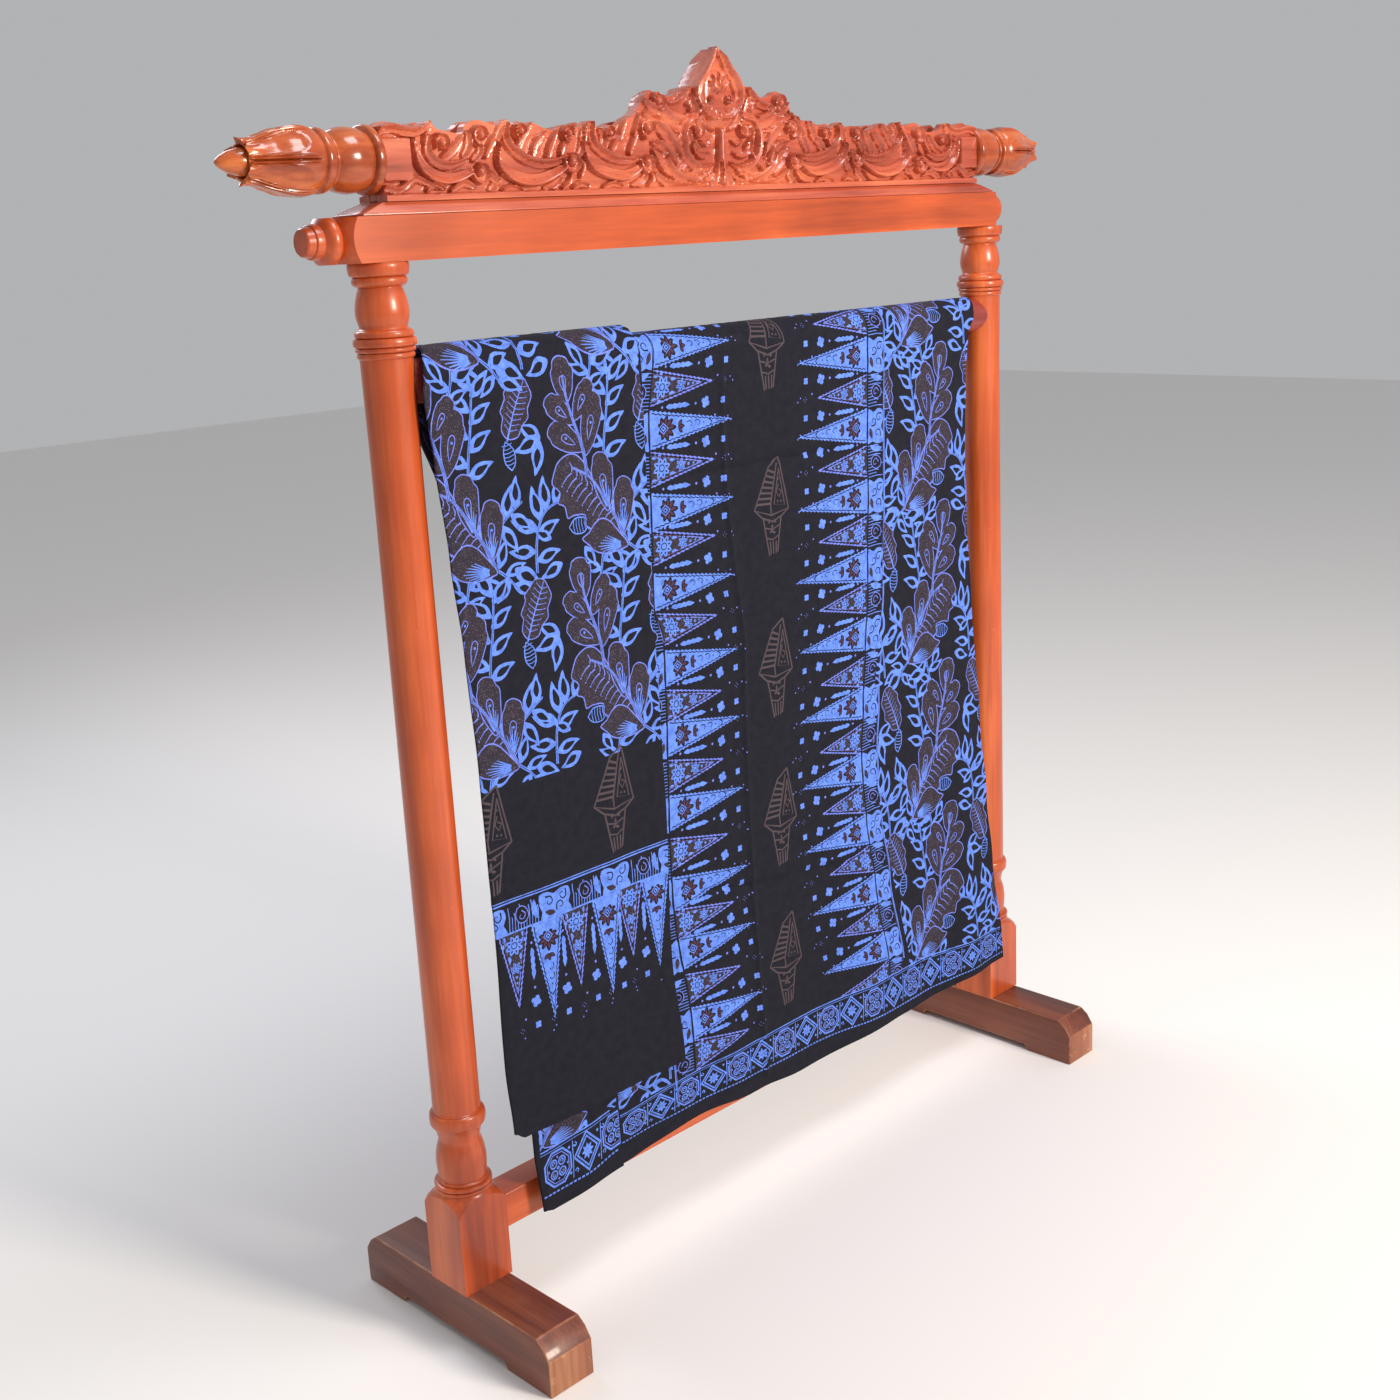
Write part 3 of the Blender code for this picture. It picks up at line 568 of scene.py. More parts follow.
def field_stamps() -> tuple[Stamp, Stamp]:
    """The leaf field's two stamps, 226 mm by 260 mm.

    Returns:
        The sprigs with a small shell leaf, and the tall lobed leaf on a slanting rib that lies over them.
    """
    sprays = made = Stamp()
    made.add(sprig(
        ((-161, -146), (-158, -110), (-150, -70), (-144, -24)),
        ((-160, -132, 22, 44), (-159, -118, 152, 42), (-157, -100, 32, 44), (-155, -84, 146, 44), (-152, -66, 34, 42),
         (-150, -52, 140, 42), (-147, -34, 44, 42), (-146, -26, 122, 46)),
    ))
    made.add(sprig(
        ((-62, -268), (-60, -232), (-52, -204), (-38, -188), (-14, -180)),
        ((-61, -252, 12, 42), (-62, -240, 172, 44), (-59, -222, 24, 44), (-56, -212, 158, 46), (-50, -202, 104, 48),
         (-40, -190, 92, 46), (-26, -184, 66, 40), (-12, -180, 2, 30)),
    ))
    made.add(sprig(
        ((-132, -236), (-122, -206), (-100, -186), (-78, -172)),
        ((-130, -230, 118, 44), (-124, -208, 96, 44), (-108, -192, 72, 46), (-90, -180, 84, 42), (-98, -186, -36, 40),
         (-114, -198, -58, 44)),
    ))
    made.add(sprig(((98, -252), (116, -266), (130, -282)),
                   ((102, -252, 66, 40), (112, -262, 18, 36), (124, -276, -24, 42), (120, -270, 226, 36))))
    made.add(sprig(((54, -262), (48, -286), (40, -312)),
                   ((52, -270, 14, 40), (49, -282, 158, 38), (44, -298, 24, 36))))
    for x, y, turn, length in ((-40, -96, 148, 42), (-40, -96, 196, 46), (-42, -98, 256, 46), (-106, 4, -34, 48),
                               (60, -8, -12, 42), (-34, -228, 150, 32), (-18, -262, 200, 40), (-98, -262, -24, 42),
                               (22, -246, -60, 34), (-176, -176, 60, 40), (-186, -206, 30, 40)):
        made.add(small_leaf(length, length * 0.46), x, y, turn)
    made.add(shell_leaf(82, 46), -94, -92, 66)
    made.add(hatched_tail(38, 18), -98, -94, -78)
    made.add(hatched_tail(36, 22), 34, -214, 186)
    # tall leaf, upper half
    made = Stamp()
    made.add(lobes(((30, -120, 146, 66, 36), (34, -126, 74, 84, 36), (16, -84, 138, 58, 32), (18, -80, 58, 60, 30),
                    (8, -56, 98, 58, 38))))
    # tall leaf, lower half: a feathered side and two lobes
    made.outlined(((99, -254), (62, -229), (44, -230), (26, -220), (26, -206), (8, -204), (-4, -206), (-8, -190),
                   (-19, -184), (-15, -170), (-27, -158), (-22, -142), (-14, -130), (2, -122), (18, -124), (34, -140),
                   (50, -168), (76, -208)), 1.8)
    rib = ((101, -257), (84, -222), (60, -184), (38, -156), (8, -140))
    for step in range(10):
        x, y = 82 - 8.2 * step, -214 + 7.4 * step
        made.line(Dye.PALE, [(x, y), (x - 8, y - 4), (x - 17, y - 13)], 2.4, 0.8, per=2)
        made.dot(Dye.PALE, x - 18, y - 15, 1.3, 5)
        if step > 3:
            made.line(Dye.PALE, [(x, y + 2), (x + 1, y + 8), (x - 3, y + 15)], 2.0, 0.8, per=2)
    low_lobes = ((68, -204, 98, 80, 38), (92, -240, 84, 78, 38))
    made.add(lobes(low_lobes))
    for x, y, turn, length, _ in low_lobes:
        for step in range(6):
            angle = math.radians(turn - 20 + 8 * step)
            reach = length * (0.34 + 0.06 * ((step * 5) % 4))
            made.line(Dye.BLUE,
                      [(x + 5 * math.cos(angle), y + 5 * math.sin(angle)),
                       (x + reach * math.cos(angle), y + reach * math.sin(angle))], 2.8, 0.8, per=1)
    for line in (rib, ((34, -156), (30, -120), (18, -84), (8, -52), (3, -20))):
        made.line(Dye.PALE, line, 5.6, 3.0)
        made.line(Dye.GROUND, line, 3.0, 1.1)
        made.line(Dye.BLUE, line, 1.6, 0.8)
    # bud under the leaf
    made.outlined(((101, -256), (84, -234), (70, -219), (54, -213), (40, -219), (30, -229), (18, -236), (28, -246),
                   (40, -257), (60, -263), (84, -262)), 1.8)
    for step in range(9):
        angle = math.radians(146 + 8 * step)
        far = 46 - 3.2 * abs(step - 4)
        made.line(Dye.BLUE, [(92 + 6 * math.cos(angle), -254 + 5 * math.sin(angle)),
                             (92 + far * math.cos(angle), -252 + far * 0.72 * math.sin(angle))], 2.6, 0.9, per=1)
    return sprays, made


def wavy(start: tuple[float, float], end: tuple[float, float], swing: float, wave: float) -> Loop:
    """Points of a straight line with a small ripple."""
    length = math.dist(start, end)
    count = max(2, int(length / wave * 2))
    dx, dy = (end[0] - start[0]) / length, (end[1] - start[1]) / length
    made = []
    for i in range(count + 1):
        t = length * i / count
        off = swing * (1 if i % 2 else -1) * (0.0 if i in (0, count) else 1.0)
        made.append((start[0] + dx * t - dy * off, start[1] + dy * t + dx * off))
    return made


def small_flower(radius: float) -> Stamp:
    """A tiny flower of four round petals."""
    made = Stamp()
    for k in range(4):
        angle = math.tau * (k + 0.5) / 4
        made.dot(Dye.BLUE, radius * 0.55 * math.cos(angle), radius * 0.55 * math.sin(angle), radius * 0.48, 6)
    made.dot(Dye.PALE, 0.0, 0.0, radius * 0.3, 5)
    return made


def long_triangle() -> Stamp:
    """The solid blue triangle with a flower at its foot."""
    made = Stamp()
    length, half = LONG_LENGTH, 27.0
    made.fill(Dye.BLUE, wavy((0, -half), (length, 0), 1.0, 8.0) + wavy((length, 0), (0, half), 1.0, 8.0)[1:])
    for side in (-1.0, 1.0):
        made.fill(Dye.GROUND, ribbon(wavy((4, side * (half - 4.6)), (length - 13, 0), 0.8, 8.0), 1.7, 1.4))
    for turn, size in ((0, 20), (36, 18), (-36, 18), (72, 17), (-72, 17), (110, 15), (-110, 15), (148, 12),
                       (-148, 12)):
        petal = Stamp()
        petal.soft(Dye.GROUND, ((2, 0), (size * 0.5, 4.6), (size, 2.2), (size * 1.04, -1.6), (size * 0.5, -4.2)), 2)
        petal.soft(Dye.BROWN, ((3.6, 0), (size * 0.5, 3.0), (size - 2.0, 1.0), (size * 0.5, -2.6)), 2)
        made.add(petal, 27, 0, turn)
    for dye, size in ((Dye.BLUE, 9.4), (Dye.GROUND, 7.4), (Dye.BLUE, 4.8), (Dye.GROUND, 2.2)):
        made.fill(dye, [(25 - size, 0), (25, size * 0.86), (25 + size, 0), (25, -size * 0.86)])
    for turn in (0, 52, -52):
        petal = Stamp()
        petal.soft(Dye.GROUND, ((0, 0), (6, 3.4), (12, 0), (6, -3.4)), 2)
        petal.soft(Dye.BROWN, ((1.8, 0), (6, 1.9), (10, 0), (6, -1.9)), 2)
        made.add(petal, 52, 0, turn)
    for x in (68.0, 83.0):
        made.line(Dye.GROUND, [(x, 4.4), (x + 6, 5.6), (x + 10, 1.0), (x + 6, -2.4)], 1.6, 1.0, per=2)
    made.dot(Dye.GROUND, 100, 0.5, 1.4, 5)
    made.line(Dye.GROUND, [(111, 4.6), (116, 0), (112, -4.0)], 2.6, 1.4, per=1)
    return made


def short_triangle() -> Stamp:
    """The dark triangle with double outline and two blue flowers."""
    made = Stamp()
    length, half = SHORT_LENGTH, 25.0
    slope = half / length
    for dye, back in ((Dye.PALE, 0.0), (Dye.GROUND, 2.1), (Dye.PALE, 4.8), (Dye.STIPPLE, 5.9)):
        edge, tip = half - back * 1.05, length - back / slope * 0.98
        made.fill(dye, wavy((0.5 if back else 0, -edge), (tip, 0), 0.7, 8.0)
                  + wavy((tip, 0), (0.5 if back else 0, edge), 0.7, 8.0)[1:])
    for x, radius, petals in ((20.0, 14.0, 8), (55.0, 8.6, 6)):
        for k in range(petals):
            petal = Stamp()
            petal.soft(Dye.BLUE, ((radius * 0.2, 0), (radius * 0.62, radius * 0.34), (radius * 1.12, radius * 0.10),
                                  (radius * 0.66, -radius * 0.26)), 2)
            petal.soft(Dye.GROUND, ((radius * 0.50, radius * 0.04), (radius * 0.68, radius * 0.14),
                (radius * 0.90, radius * 0.04), (radius * 0.68, -radius * 0.06)), 1)
            made.add(petal, x, 0, 360 * (k + 0.25) / petals)
        made.dot(Dye.GROUND, x, 0, radius * 0.40, 8)
        made.dot(Dye.BLUE, x, 0, radius * 0.30, 8)
    for y in (-16.0, 16.0):
        for x, turn in ((2.0, 4), (12.0, 40), (34.0, -6)):
            made.add(small_leaf(11, 5.4, 0.0), x, y * (1.0 - x / 90.0), turn if y > 0 else -turn)
        made.line(Dye.BROWN, [(4, y * 1.12), (30, y * 0.86), (52, y * 0.60)], 1.4, per=1)
        made.dot(Dye.BLUE, 38, y * 0.52, 1.7, 5)
    for x in (69.0, 78.0, 86.0):
        made.dot(Dye.BLUE, x, 0, 2.5 - (x - 67) * 0.06, 5)
    made.line(Dye.PALE, [(64, 7), (78, 3.8), (94, 0)], 1.1, per=1)
    made.line(Dye.PALE, [(64, -7), (78, -3.8), (94, 0)], 1.1, per=1)
    return made


def between_triangles() -> Stamp:
    """What fills the gap beside a long triangle: a feather, dots and small flowers."""
    made = Stamp()
    teeth = [(35 + i * 4.6, -3.4 if i % 2 else -2.2) for i in range(9)]
    crown = [(x - 1.5, -y * 1.25) for x, y in reversed(teeth)]
    made.fill(Dye.BLUE, [(31, 0)] + teeth + [(77, -0.6)] + crown)
    made.dot(Dye.PALE, 24, 0.5, 2.0)
    made.dot(Dye.PALE, 88, 0.0, 2.1)
    made.add(small_flower(8.5), 108, 0.0, 20)
    made.add(small_flower(5.6), 142, 0.0, 0)
    made.dot(Dye.PALE, 128, -20.0, 1.7, 5)
    made.dot(Dye.PALE, 154, -24.0, 1.3, 5)
    made.dot(Dye.PALE, 160, 25.0, 1.3, 5)
    for k in range(4):
        made.dot(Dye.PALE, 143 + 3 * math.cos(1.6 * k), -27 + 3 * math.sin(1.6 * k), 0.8, 4)
    return made


def strip_stamp() -> Stamp:
    """The ornament strip behind the triangles, 112 mm long along y: brushed clouds and hatched grounds in turn."""
    made = Stamp()
    made.soft(Dye.BLUE, ((-37, -27), (-38, -12), (-33, -2), (-38, 10), (-36, 24), (-24, 27), (-14, 22), (-2, 28),
                         (-1, 10), (-2, -12), (-1, -27), (-12, -24), (-22, -28)), 2)
    for x, y, turn in ((-26, -12, 20), (-14, 6, 110), (-28, 14, -60)):
        swirl = Stamp()
        swirl.line(Dye.GROUND, ((-7, -3), (-3, 5), (4, 5), (6, -1), (2, -4), (-1, -1)), 2.4, 0.9)
        made.add(swirl, x, y, turn)
    made.soft(Dye.STIPPLE, ((-12, -20), (-4, -12), (-6, -2), (-12, -8)), 2)
    for step in range(11):
        y = 31.5 + 4.9 * step
        start = -36 + 5 * ((step * 3) % 4)
        made.line(Dye.BLUE, [(start, y), (-20, y + 1.2), (-1.0, y)], 1.5, 1.1, per=1)
    made.outlined(((-30, 46), (-20, 43), (-10, 48), (-8, 58), (-16, 66), (-28, 62), (-33, 54)), 1.3, Dye.GROUND)
    made.line(Dye.PALE, ((-26, 54), (-20, 60), (-14, 56), (-16, 50), (-21, 52)), 1.5, 0.9)
    made.soft(Dye.BLUE, ((-35, 76), (-24, 70), (-12, 74), (-6, 82), (-20, 80)), 2)
    return made


def border_stamp() -> Stamp:
    """The hem border, 108 mm along x and 54 mm high: an octagon with four spirals and a double diamond."""
    made = Stamp()

    def ring(cx: float, cy: float, rx: float, ry: float, sides: int, turn: float) -> Loop:
        return [(cx + rx * math.cos(turn + math.tau * k / sides), cy + ry * math.sin(turn + math.tau * k / sides))
                for k in range(sides)]

    for dye, back in ((Dye.BLUE, 0.0), (Dye.GROUND, 3.0), (Dye.PALE, 5.0), (Dye.GROUND, 6.4)):
        made.fill(dye, ring(0, 27, 26 - back, 26.5 - back, 8, math.pi / 8))
    for dx in (-1, 1):
        for dy in (-1, 1):
            x, y = 7.2 * dx, 27 + 7.4 * dy
            made.dot(Dye.BLUE, x, y, 6.6, 12)
            made.dot(Dye.STIPPLE, x, y, 4.7, 10)
            made.line(Dye.BLUE, ((x - 3 * dx, y), (x, y + 3 * dy), (x + 2.6 * dx, y), (x, y - 1.6 * dy)), 1.5, 1.1,
                      per=2)
        made.dot(Dye.PALE, 16.5 * dx, 27, 1.8, 5)
    made.fill(Dye.BLUE, ring(0, 27, 3.0, 3.0, 4, 0.0))
    made.dot(Dye.PALE, 0, 41.8, 1.8, 5)
    made.dot(Dye.PALE, 0, 12.2, 1.8, 5)
    for dye, back in ((Dye.BLUE, 0.0), (Dye.GROUND, 3.8), (Dye.BLUE, 6.4), (Dye.GROUND, 9.6)):
        made.fill(dye, ring(54, 27, 27 - back, 28.0 - back, 4, 0.0))
    for k in range(8):
        made.add(small_leaf(9.5, 4.6, 0.0), 54 + 2 * math.cos(k * math.pi / 4), 27 + 2 * math.sin(k * math.pi / 4),
                 45 * k + 4)
    made.dot(Dye.BLUE, 54, 27, 2.4)
    for x in (27, 81):
        made.line(Dye.BLUE, [(x - 2, 2), (x, 27), (x + 1, 51)], 1.5, per=1)
        for y, side in ((9, 1), (45, -1)):
            made.line(Dye.BLUE, ((x + 2, y), (x + 5, y + 3 * side), (x + 8, y), (x + 5, y - 2.5 * side)), 2.0, 1.3,
                      per=2)
        made.dot(Dye.BLUE, x - 6, 10, 2.4, 5)
        made.dot(Dye.BLUE, x - 6, 45, 2.2, 5)
    return made


def lantern_stamp() -> Stamp:
    """A faint brown ornament, 150 mm high: a laddered flag beside a peaked panel, over a tapering foot."""
    made = Stamp()

    def line(points: Spots, width: float = 2.8) -> None:
        made.line(Dye.FAINT, points, width, per=1)

    line(((19, 75), (-4, 62), (-38, 0), (-2, -12), (36, -6), (19, 75)))
    line(((14, 66), (-3, 4), (-2, -10)))
    for step in range(7):
        share = step / 6.0
        line(((-6 - 27 * share, 58 - 50 * share), (8 - 10 * share, 52 - 46 * share)), 3.4)
    line(((18, 58), (5, 4), (28, 0), (18, 58)), 2.2)
    line(((16, 34), (11, 22), (17, 14), (22, 22), (16, 26)), 2.2)
    for x, y in ((13, 8), (20, 7), (16, 42)):
        made.dot(Dye.FAINT, x, y, 2.0, 6)
    line(((-38, 0), (-22, -14), (0, -22), (20, -16), (36, -6)))
    line(((-20, -16), (-9, -74)))
    line(((19, -18), (9, -70)))
    for y, reach in ((-30, 15), (-46, 12)):
        line(((-reach - 2, y), (0, y - 4), (reach, y + 1)), 2.4)
    for x, y, turn in ((-9, -24, 60), (8, -25, 130), (-7, -38, 20), (6, -40, 160), (-1, -33, 90)):
        made.add(Stamp([(Dye.FAINT, points) for _, points in small_leaf(8, 4.4, 0.0).shapes]), x, y, turn)
    for x in (-5.5, 0.0, 5.5):
        line(((x * 1.2, -52), (x, -72)), 2.6)
    return made


# ---------------------------------------------------------------- the cloth

ROD_RADIUS, ROD_Z = 0.0275, 1.298
FIRST_REACH = ROD_RADIUS + 0.0022 + 0.001
WRAP_READ_RISE, HANG_LOW_Z, HEM_BULGE = 0.033, 0.15, 0.013
FOLD_RADIUS = 0.002
# grid between the print's edges: lines along the fold, their step, clear room beside them, and a step along creases
FOLD_LINES, FOLD_STEP, FOLD_ROOM, CREASE_STEP = 5, 0.007, 0.004, 0.008
# how much coarser the grid is behind and how much finer over the rod
BACK_COARSER, WRAP_FINER, GRID_SEED = 1.9, 0.55, 7
# how far a printed line may move when points are left out: front, back and after the first cut
FRONT_SLACK, BACK_SLACK, BORDER_SLACK = 0.00028, 0.0014, 0.00022
SMALLEST_BEHIND = 0.012
FRONT_WAVES = (
    (-0.43, 0.03, 0.045, 0.003), (-0.25, -0.02, 0.05, -0.003), (-0.10, 0.015, 0.045, 0.0035),
    (0.09, 0.02, 0.06, -0.003),
    (0.25, -0.01, 0.05, 0.005), (0.37, 0.035, 0.045, -0.004), (0.47, 0.05, 0.04, 0.006),
)
WRAP_END = ROD_Z + math.pi * FIRST_REACH


def table_values(table: Table, at: np.ndarray) -> np.ndarray:
    """Read a table at many places, with smooth steps between its rows."""
    keys = np.array([row[0] for row in table])
    values = np.array([row[1] for row in table])
    where = np.clip(np.searchsorted(keys, at) - 1, 0, len(keys) - 2)
    share = np.clip((at - keys[where]) / (keys[where + 1] - keys[where]), 0.0, 1.0)
    return values[where] + (values[where + 1] - values[where]) * share * share * (3.0 - 2.0 * share)


@dataclass(frozen=True)
class Crease:
    """A soft ridge (height above 0) or trough along a line of the hanging front, in metres."""

    points: tuple[tuple[float, float], ...]
    half_width: float
    height: float

    def rise(self, x: np.ndarray, z: np.ndarray) -> np.ndarray:
        """How far the crease lifts the cloth towards -Y at each place."""
        nearest = np.full(x.shape, 9.0)
        for (ax, az), (bx, bz) in zip(self.points, self.points[1:]):
            dx, dz = bx - ax, bz - az
            t = np.clip(((x - ax) * dx + (z - az) * dz) / (dx * dx + dz * dz), 0.0, 1.0)
            nearest = np.minimum(nearest, np.hypot(x - ax - t * dx, z - az - t * dz))
        return self.height * np.exp(-((nearest / self.half_width) ** 2))


@dataclass(frozen=True)
class Edges:
    """Where a leaf's right edge, left fold and turned edge run: tables of (height, x) for the front and the back."""

    right: tuple[Table, Table]
    left: tuple[Table, Table]
    turned: tuple[Table, Table]


@dataclass
class PrintedLeaf:
    """A leaf of the cloth over the rod with its print.

    Its flat co-ordinates are u, across from the left fold (below 0 is the turned part), and s, up the
    front to the rod's height, over the rod and on down the back.
    """

    name: str
    edges: Edges
    hem: Table
    back_hem_z: float
    layers: tuple[float, float]
    creases: tuple[Crease, ...]
    flat: tuple[float, float]
    hidden: tuple[float, float, float, float] | None = None
    spacing: float = 0.0105
    shapes: list[tuple[Dye, Loop, int]] = field(default_factory=list)
    regions: list[Loop] = field(default_factory=list)

    def edge(self, pair: tuple[Table, Table], s: np.ndarray) -> np.ndarray:
        """x of an edge at flat heights s."""
        angle = np.clip((s - ROD_Z) / FIRST_REACH, 0.0, math.pi)
        front = table_values(pair[0],
                             np.where(s < ROD_Z, s, ROD_Z + WRAP_READ_RISE * np.minimum(1.0, 2.0 * angle / math.pi)))
        back = table_values(pair[1], ROD_Z - np.maximum(0.0, s - WRAP_END))
        return np.where(s < WRAP_END, front, back)

    def flat_points(self, places: Spots, turned: bool = False) -> np.ndarray:
        """Flat places of points given by their hanging x and their s."""
        spots = np.array(places, dtype=float)
        fold = self.edge(self.edges.left, spots[:, 1])
        across = spots[:, 0] - fold
        return np.stack([-across - math.pi * FOLD_RADIUS if turned else across, spots[:, 1]], axis=1)

    def add_region(self, places: Spots, turned: bool = False) -> int:
        """Mark a region that designs are cut to and return its number."""
        self.regions.append([tuple(p) for p in self.flat_points(places, turned).tolist()])
        return len(self.regions) - 1

    @property
    def end(self) -> float:
        """s of the back hem."""
        return WRAP_END + ROD_Z - self.back_hem_z

    @property
    def width(self) -> float:
        """The furthest u of the right edge."""
        s = np.linspace(self.hem[0][1], self.end, 60)
        return float((self.edge(self.edges.right, s) - self.edge(self.edges.left, s)).max())

    def surface(self, u: np.ndarray, s: np.ndarray) -> np.ndarray:
        """Places of flat points in space.

        Args:
            u: flat co-ordinates across.
            s: flat co-ordinates up the front and on over the rod.

        Returns:
            One row of x, y, z for each.
        """
        arc = math.pi * FOLD_RADIUS
        fold = self.edge(self.edges.left, s)
        turn = np.clip(-u / FOLD_RADIUS, 0.0, math.pi)
        x = np.where(u >= 0.0, fold + u, fold - FOLD_RADIUS * np.sin(turn) + np.maximum(0.0, -u - arc))
        middle, radius = sum(self.layers) / 2.0, (self.layers[1] - self.layers[0]) / 2.0
        reach = FIRST_REACH + middle - radius * np.cos(turn)
        angle = np.clip((s - ROD_Z) / FIRST_REACH, 0.0, math.pi)
        z = np.where(s < ROD_Z, s, np.where(s < WRAP_END, ROD_Z + reach * np.sin(angle), ROD_Z - (s - WRAP_END)))
        drop = np.clip((ROD_Z - s) / (ROD_Z - HANG_LOW_Z), 0.0, 1.0)
        depth = HEM_BULGE * drop * drop
        for centre, drift, half_width, height in FRONT_WAVES:
            depth = depth + height * drop * np.exp(-(((x - centre - drift * drop) / half_width) ** 2))
        fade = np.clip((ROD_Z - s) / 0.05, 0.0, 1.0)
        for crease in self.creases:
            depth = depth + crease.rise(x, s) * fade
        uneven = 0.0005 * np.sin(x * 47.0 + 3.0 * np.sin(s * 9.0)) * np.sin(s * 31.0 + 2.0 * np.sin(x * 13.0))
        depth = depth + uneven * fade
        y = np.where(s < ROD_Z, -reach - depth, -reach * np.cos(angle))
        return np.stack([x, y, z], axis=1)

    def stamp(self, design: Stamp, place: Place, region: int = -1, turned: bool = False) -> None:
        """Stamp a design on the leaf.

        Args:
            design: the design in millimetres.
            place: turns a point of the design into hanging x and s in metres.
            region: which region it is cut to, or -1.
            turned: whether it lies on the turned part.
        """
        loops = [[place(x, y) for x, y in points] for _, points in design.shapes]
        flat = self.flat_points([p for loop in loops for p in loop], turned)
        hidden = self.hidden if not turned else None
        start = 0
        for (dye, _), loop in zip(design.shapes, loops):
            here = flat[start:start + len(loop)]
            start += len(loop)
            (low_u, low_s), (high_u, high_s) = here.min(axis=0), here.max(axis=0)
            xs = [p[0] for p in loop]
            if hidden and hidden[0] < min(xs) and max(xs) < hidden[2] and hidden[1] < low_s and high_s < hidden[3]:
                continue
            if region >= 0:
                limit = np.array(self.regions[region])
                (a, b), (c, d) = limit.min(axis=0), limit.max(axis=0)
                if high_u < a or low_u > c or high_s < b or low_s > d:
                    continue
            if low_u > self.width or low_s > self.end:
                continue
            behind = low_s > WRAP_END
            if behind and math.hypot(high_u - low_u, high_s - low_s) < SMALLEST_BEHIND:
                continue
            thinned = thin([tuple(p) for p in here.tolist()], BACK_SLACK if behind else FRONT_SLACK)
            self.shapes.append((dye, thinned, region))

    def outline(self) -> Loop:
        """The leaf's flat outline."""
        steps = np.arange(0.0, 1.0001, 0.008)
        low = [table_value(self.hem, float(x)) for x in (self.edges.right[0][0][1], self.edges.turned[0][0][1])]
        rise = low[0] + (self.end - low[0]) * steps
        right = [(float(x), float(s))
                 for x, s in zip(self.edge(self.edges.right, rise) - self.edge(self.edges.left, rise), rise)]
        rise = low[1] + (self.end - low[1]) * steps
        far = self.edge(self.edges.turned, rise) - self.edge(self.edges.left, rise) + math.pi * FOLD_RADIUS
        turned = [(-float(x), float(s)) for x, s in zip(far, rise)]
        bottom = []
        for share in np.linspace(0.0, 1.0, 120):
            u = turned[0][0] + (right[0][0] - turned[0][0]) * share
            fold = table_value(self.edges.left[0], low[1])
            x = fold + (u if u > 0.0 else max(0.0, -u - math.pi * FOLD_RADIUS))
            bottom.append((float(u), table_value(self.hem, x)))
        return bottom[1:-1] + right + turned[::-1]

    def grid(self, edge: Loop) -> tuple[list[tuple[float, float]], list[tuple[int, int]]]:
        """Points and lines between the print's edges that let the sheet follow its folds.

        Args:
            edge: the leaf's outline.

        Returns:
            The points, and lines of them along the left fold.
        """
        points: list[tuple[float, float]] = []
        lines: list[tuple[int, int]] = []
        low_u, high_u = min(p[0] for p in edge), max(p[0] for p in edge)
        low_s = min(p[1] for p in edge)
        arc = math.pi * FOLD_RADIUS
        count = int((self.end - low_s + 0.012) / FOLD_STEP)
        for k in range(FOLD_LINES):
            start = len(points)
            points += [(-arc * k / (FOLD_LINES - 1), low_s - FOLD_ROOM + FOLD_STEP * i) for i in range(count)]
            lines += [(i, i + 1) for i in range(start, len(points) - 1)]
        draw = random.Random(GRID_SEED)
        s = low_s
        while s < self.end:
            coarse = 1.0 if s < ROD_Z else BACK_COARSER
            step = self.spacing * (WRAP_FINER if ROD_Z - 0.02 < s < WRAP_END + 0.02 else coarse)
            across = self.spacing * coarse
            for k in range(int((high_u - low_u) / across) + 1):
                u, rise = low_u + (k + 0.5 * draw.random()) * across, s + 0.2 * step * draw.random()
                if not -arc - 0.005 < u < FOLD_ROOM:
                    points.append((u, rise))
            s += step
        for crease in self.creases:
            for (ax, az), (bx, bz) in zip(crease.points, crease.points[1:]):
                size = math.hypot(bx - ax, bz - az)
                for k in range(max(1, int(size / CREASE_STEP))):
                    t = k * CREASE_STEP / size
                    for off in (-1.6, -0.8, 0.0, 0.8, 1.6):
                        move = off * crease.half_width / size
                        place = (ax + (bx - ax) * t - (bz - az) * move, az + (bz - az) * t + (bx - ax) * move)
                        u, rise = self.flat_points([place])[0].tolist()
                        if u > FOLD_ROOM:
                            points.append((u, rise))
        return points, lines

    def dyed(self, flat: np.ndarray, triangles: np.ndarray, edge: Loop) -> tuple[np.ndarray, np.ndarray]:
        """Tell which dye each triangle of the leaf has.

        Args:
            flat: flat places of the corners.
            triangles: three corners of each triangle.
            edge: the leaf's outline.

        Returns:
            The triangles that lie on the leaf and their dyes.
        """
        middles = flat[triangles].mean(axis=1)
        keep = inside(middles, np.array(edge))
        triangles, middles = triangles[keep], middles[keep]
        rising = np.argsort(middles[:, 1], kind="stable")
        triangles, middles = triangles[rising], middles[rising]
        within = [inside(middles, np.array(region)) for region in self.regions]
        dyes = np.zeros(len(triangles), dtype=int)
        order = list(Dye)
        for dye, loop, region in self.shapes:
            ring = np.array(loop)
            (low_x, low_y), (high_x, high_y) = ring.min(axis=0), ring.max(axis=0)
            first, last = np.searchsorted(middles[:, 1], (low_y, high_y))
            near = first + np.nonzero((middles[first:last, 0] > low_x) & (middles[first:last, 0] < high_x))[0]
            if region >= 0:
                near = near[within[region][near]]
            dyes[near[inside(middles[near], ring)]] = order.index(dye)
        return triangles, dyes

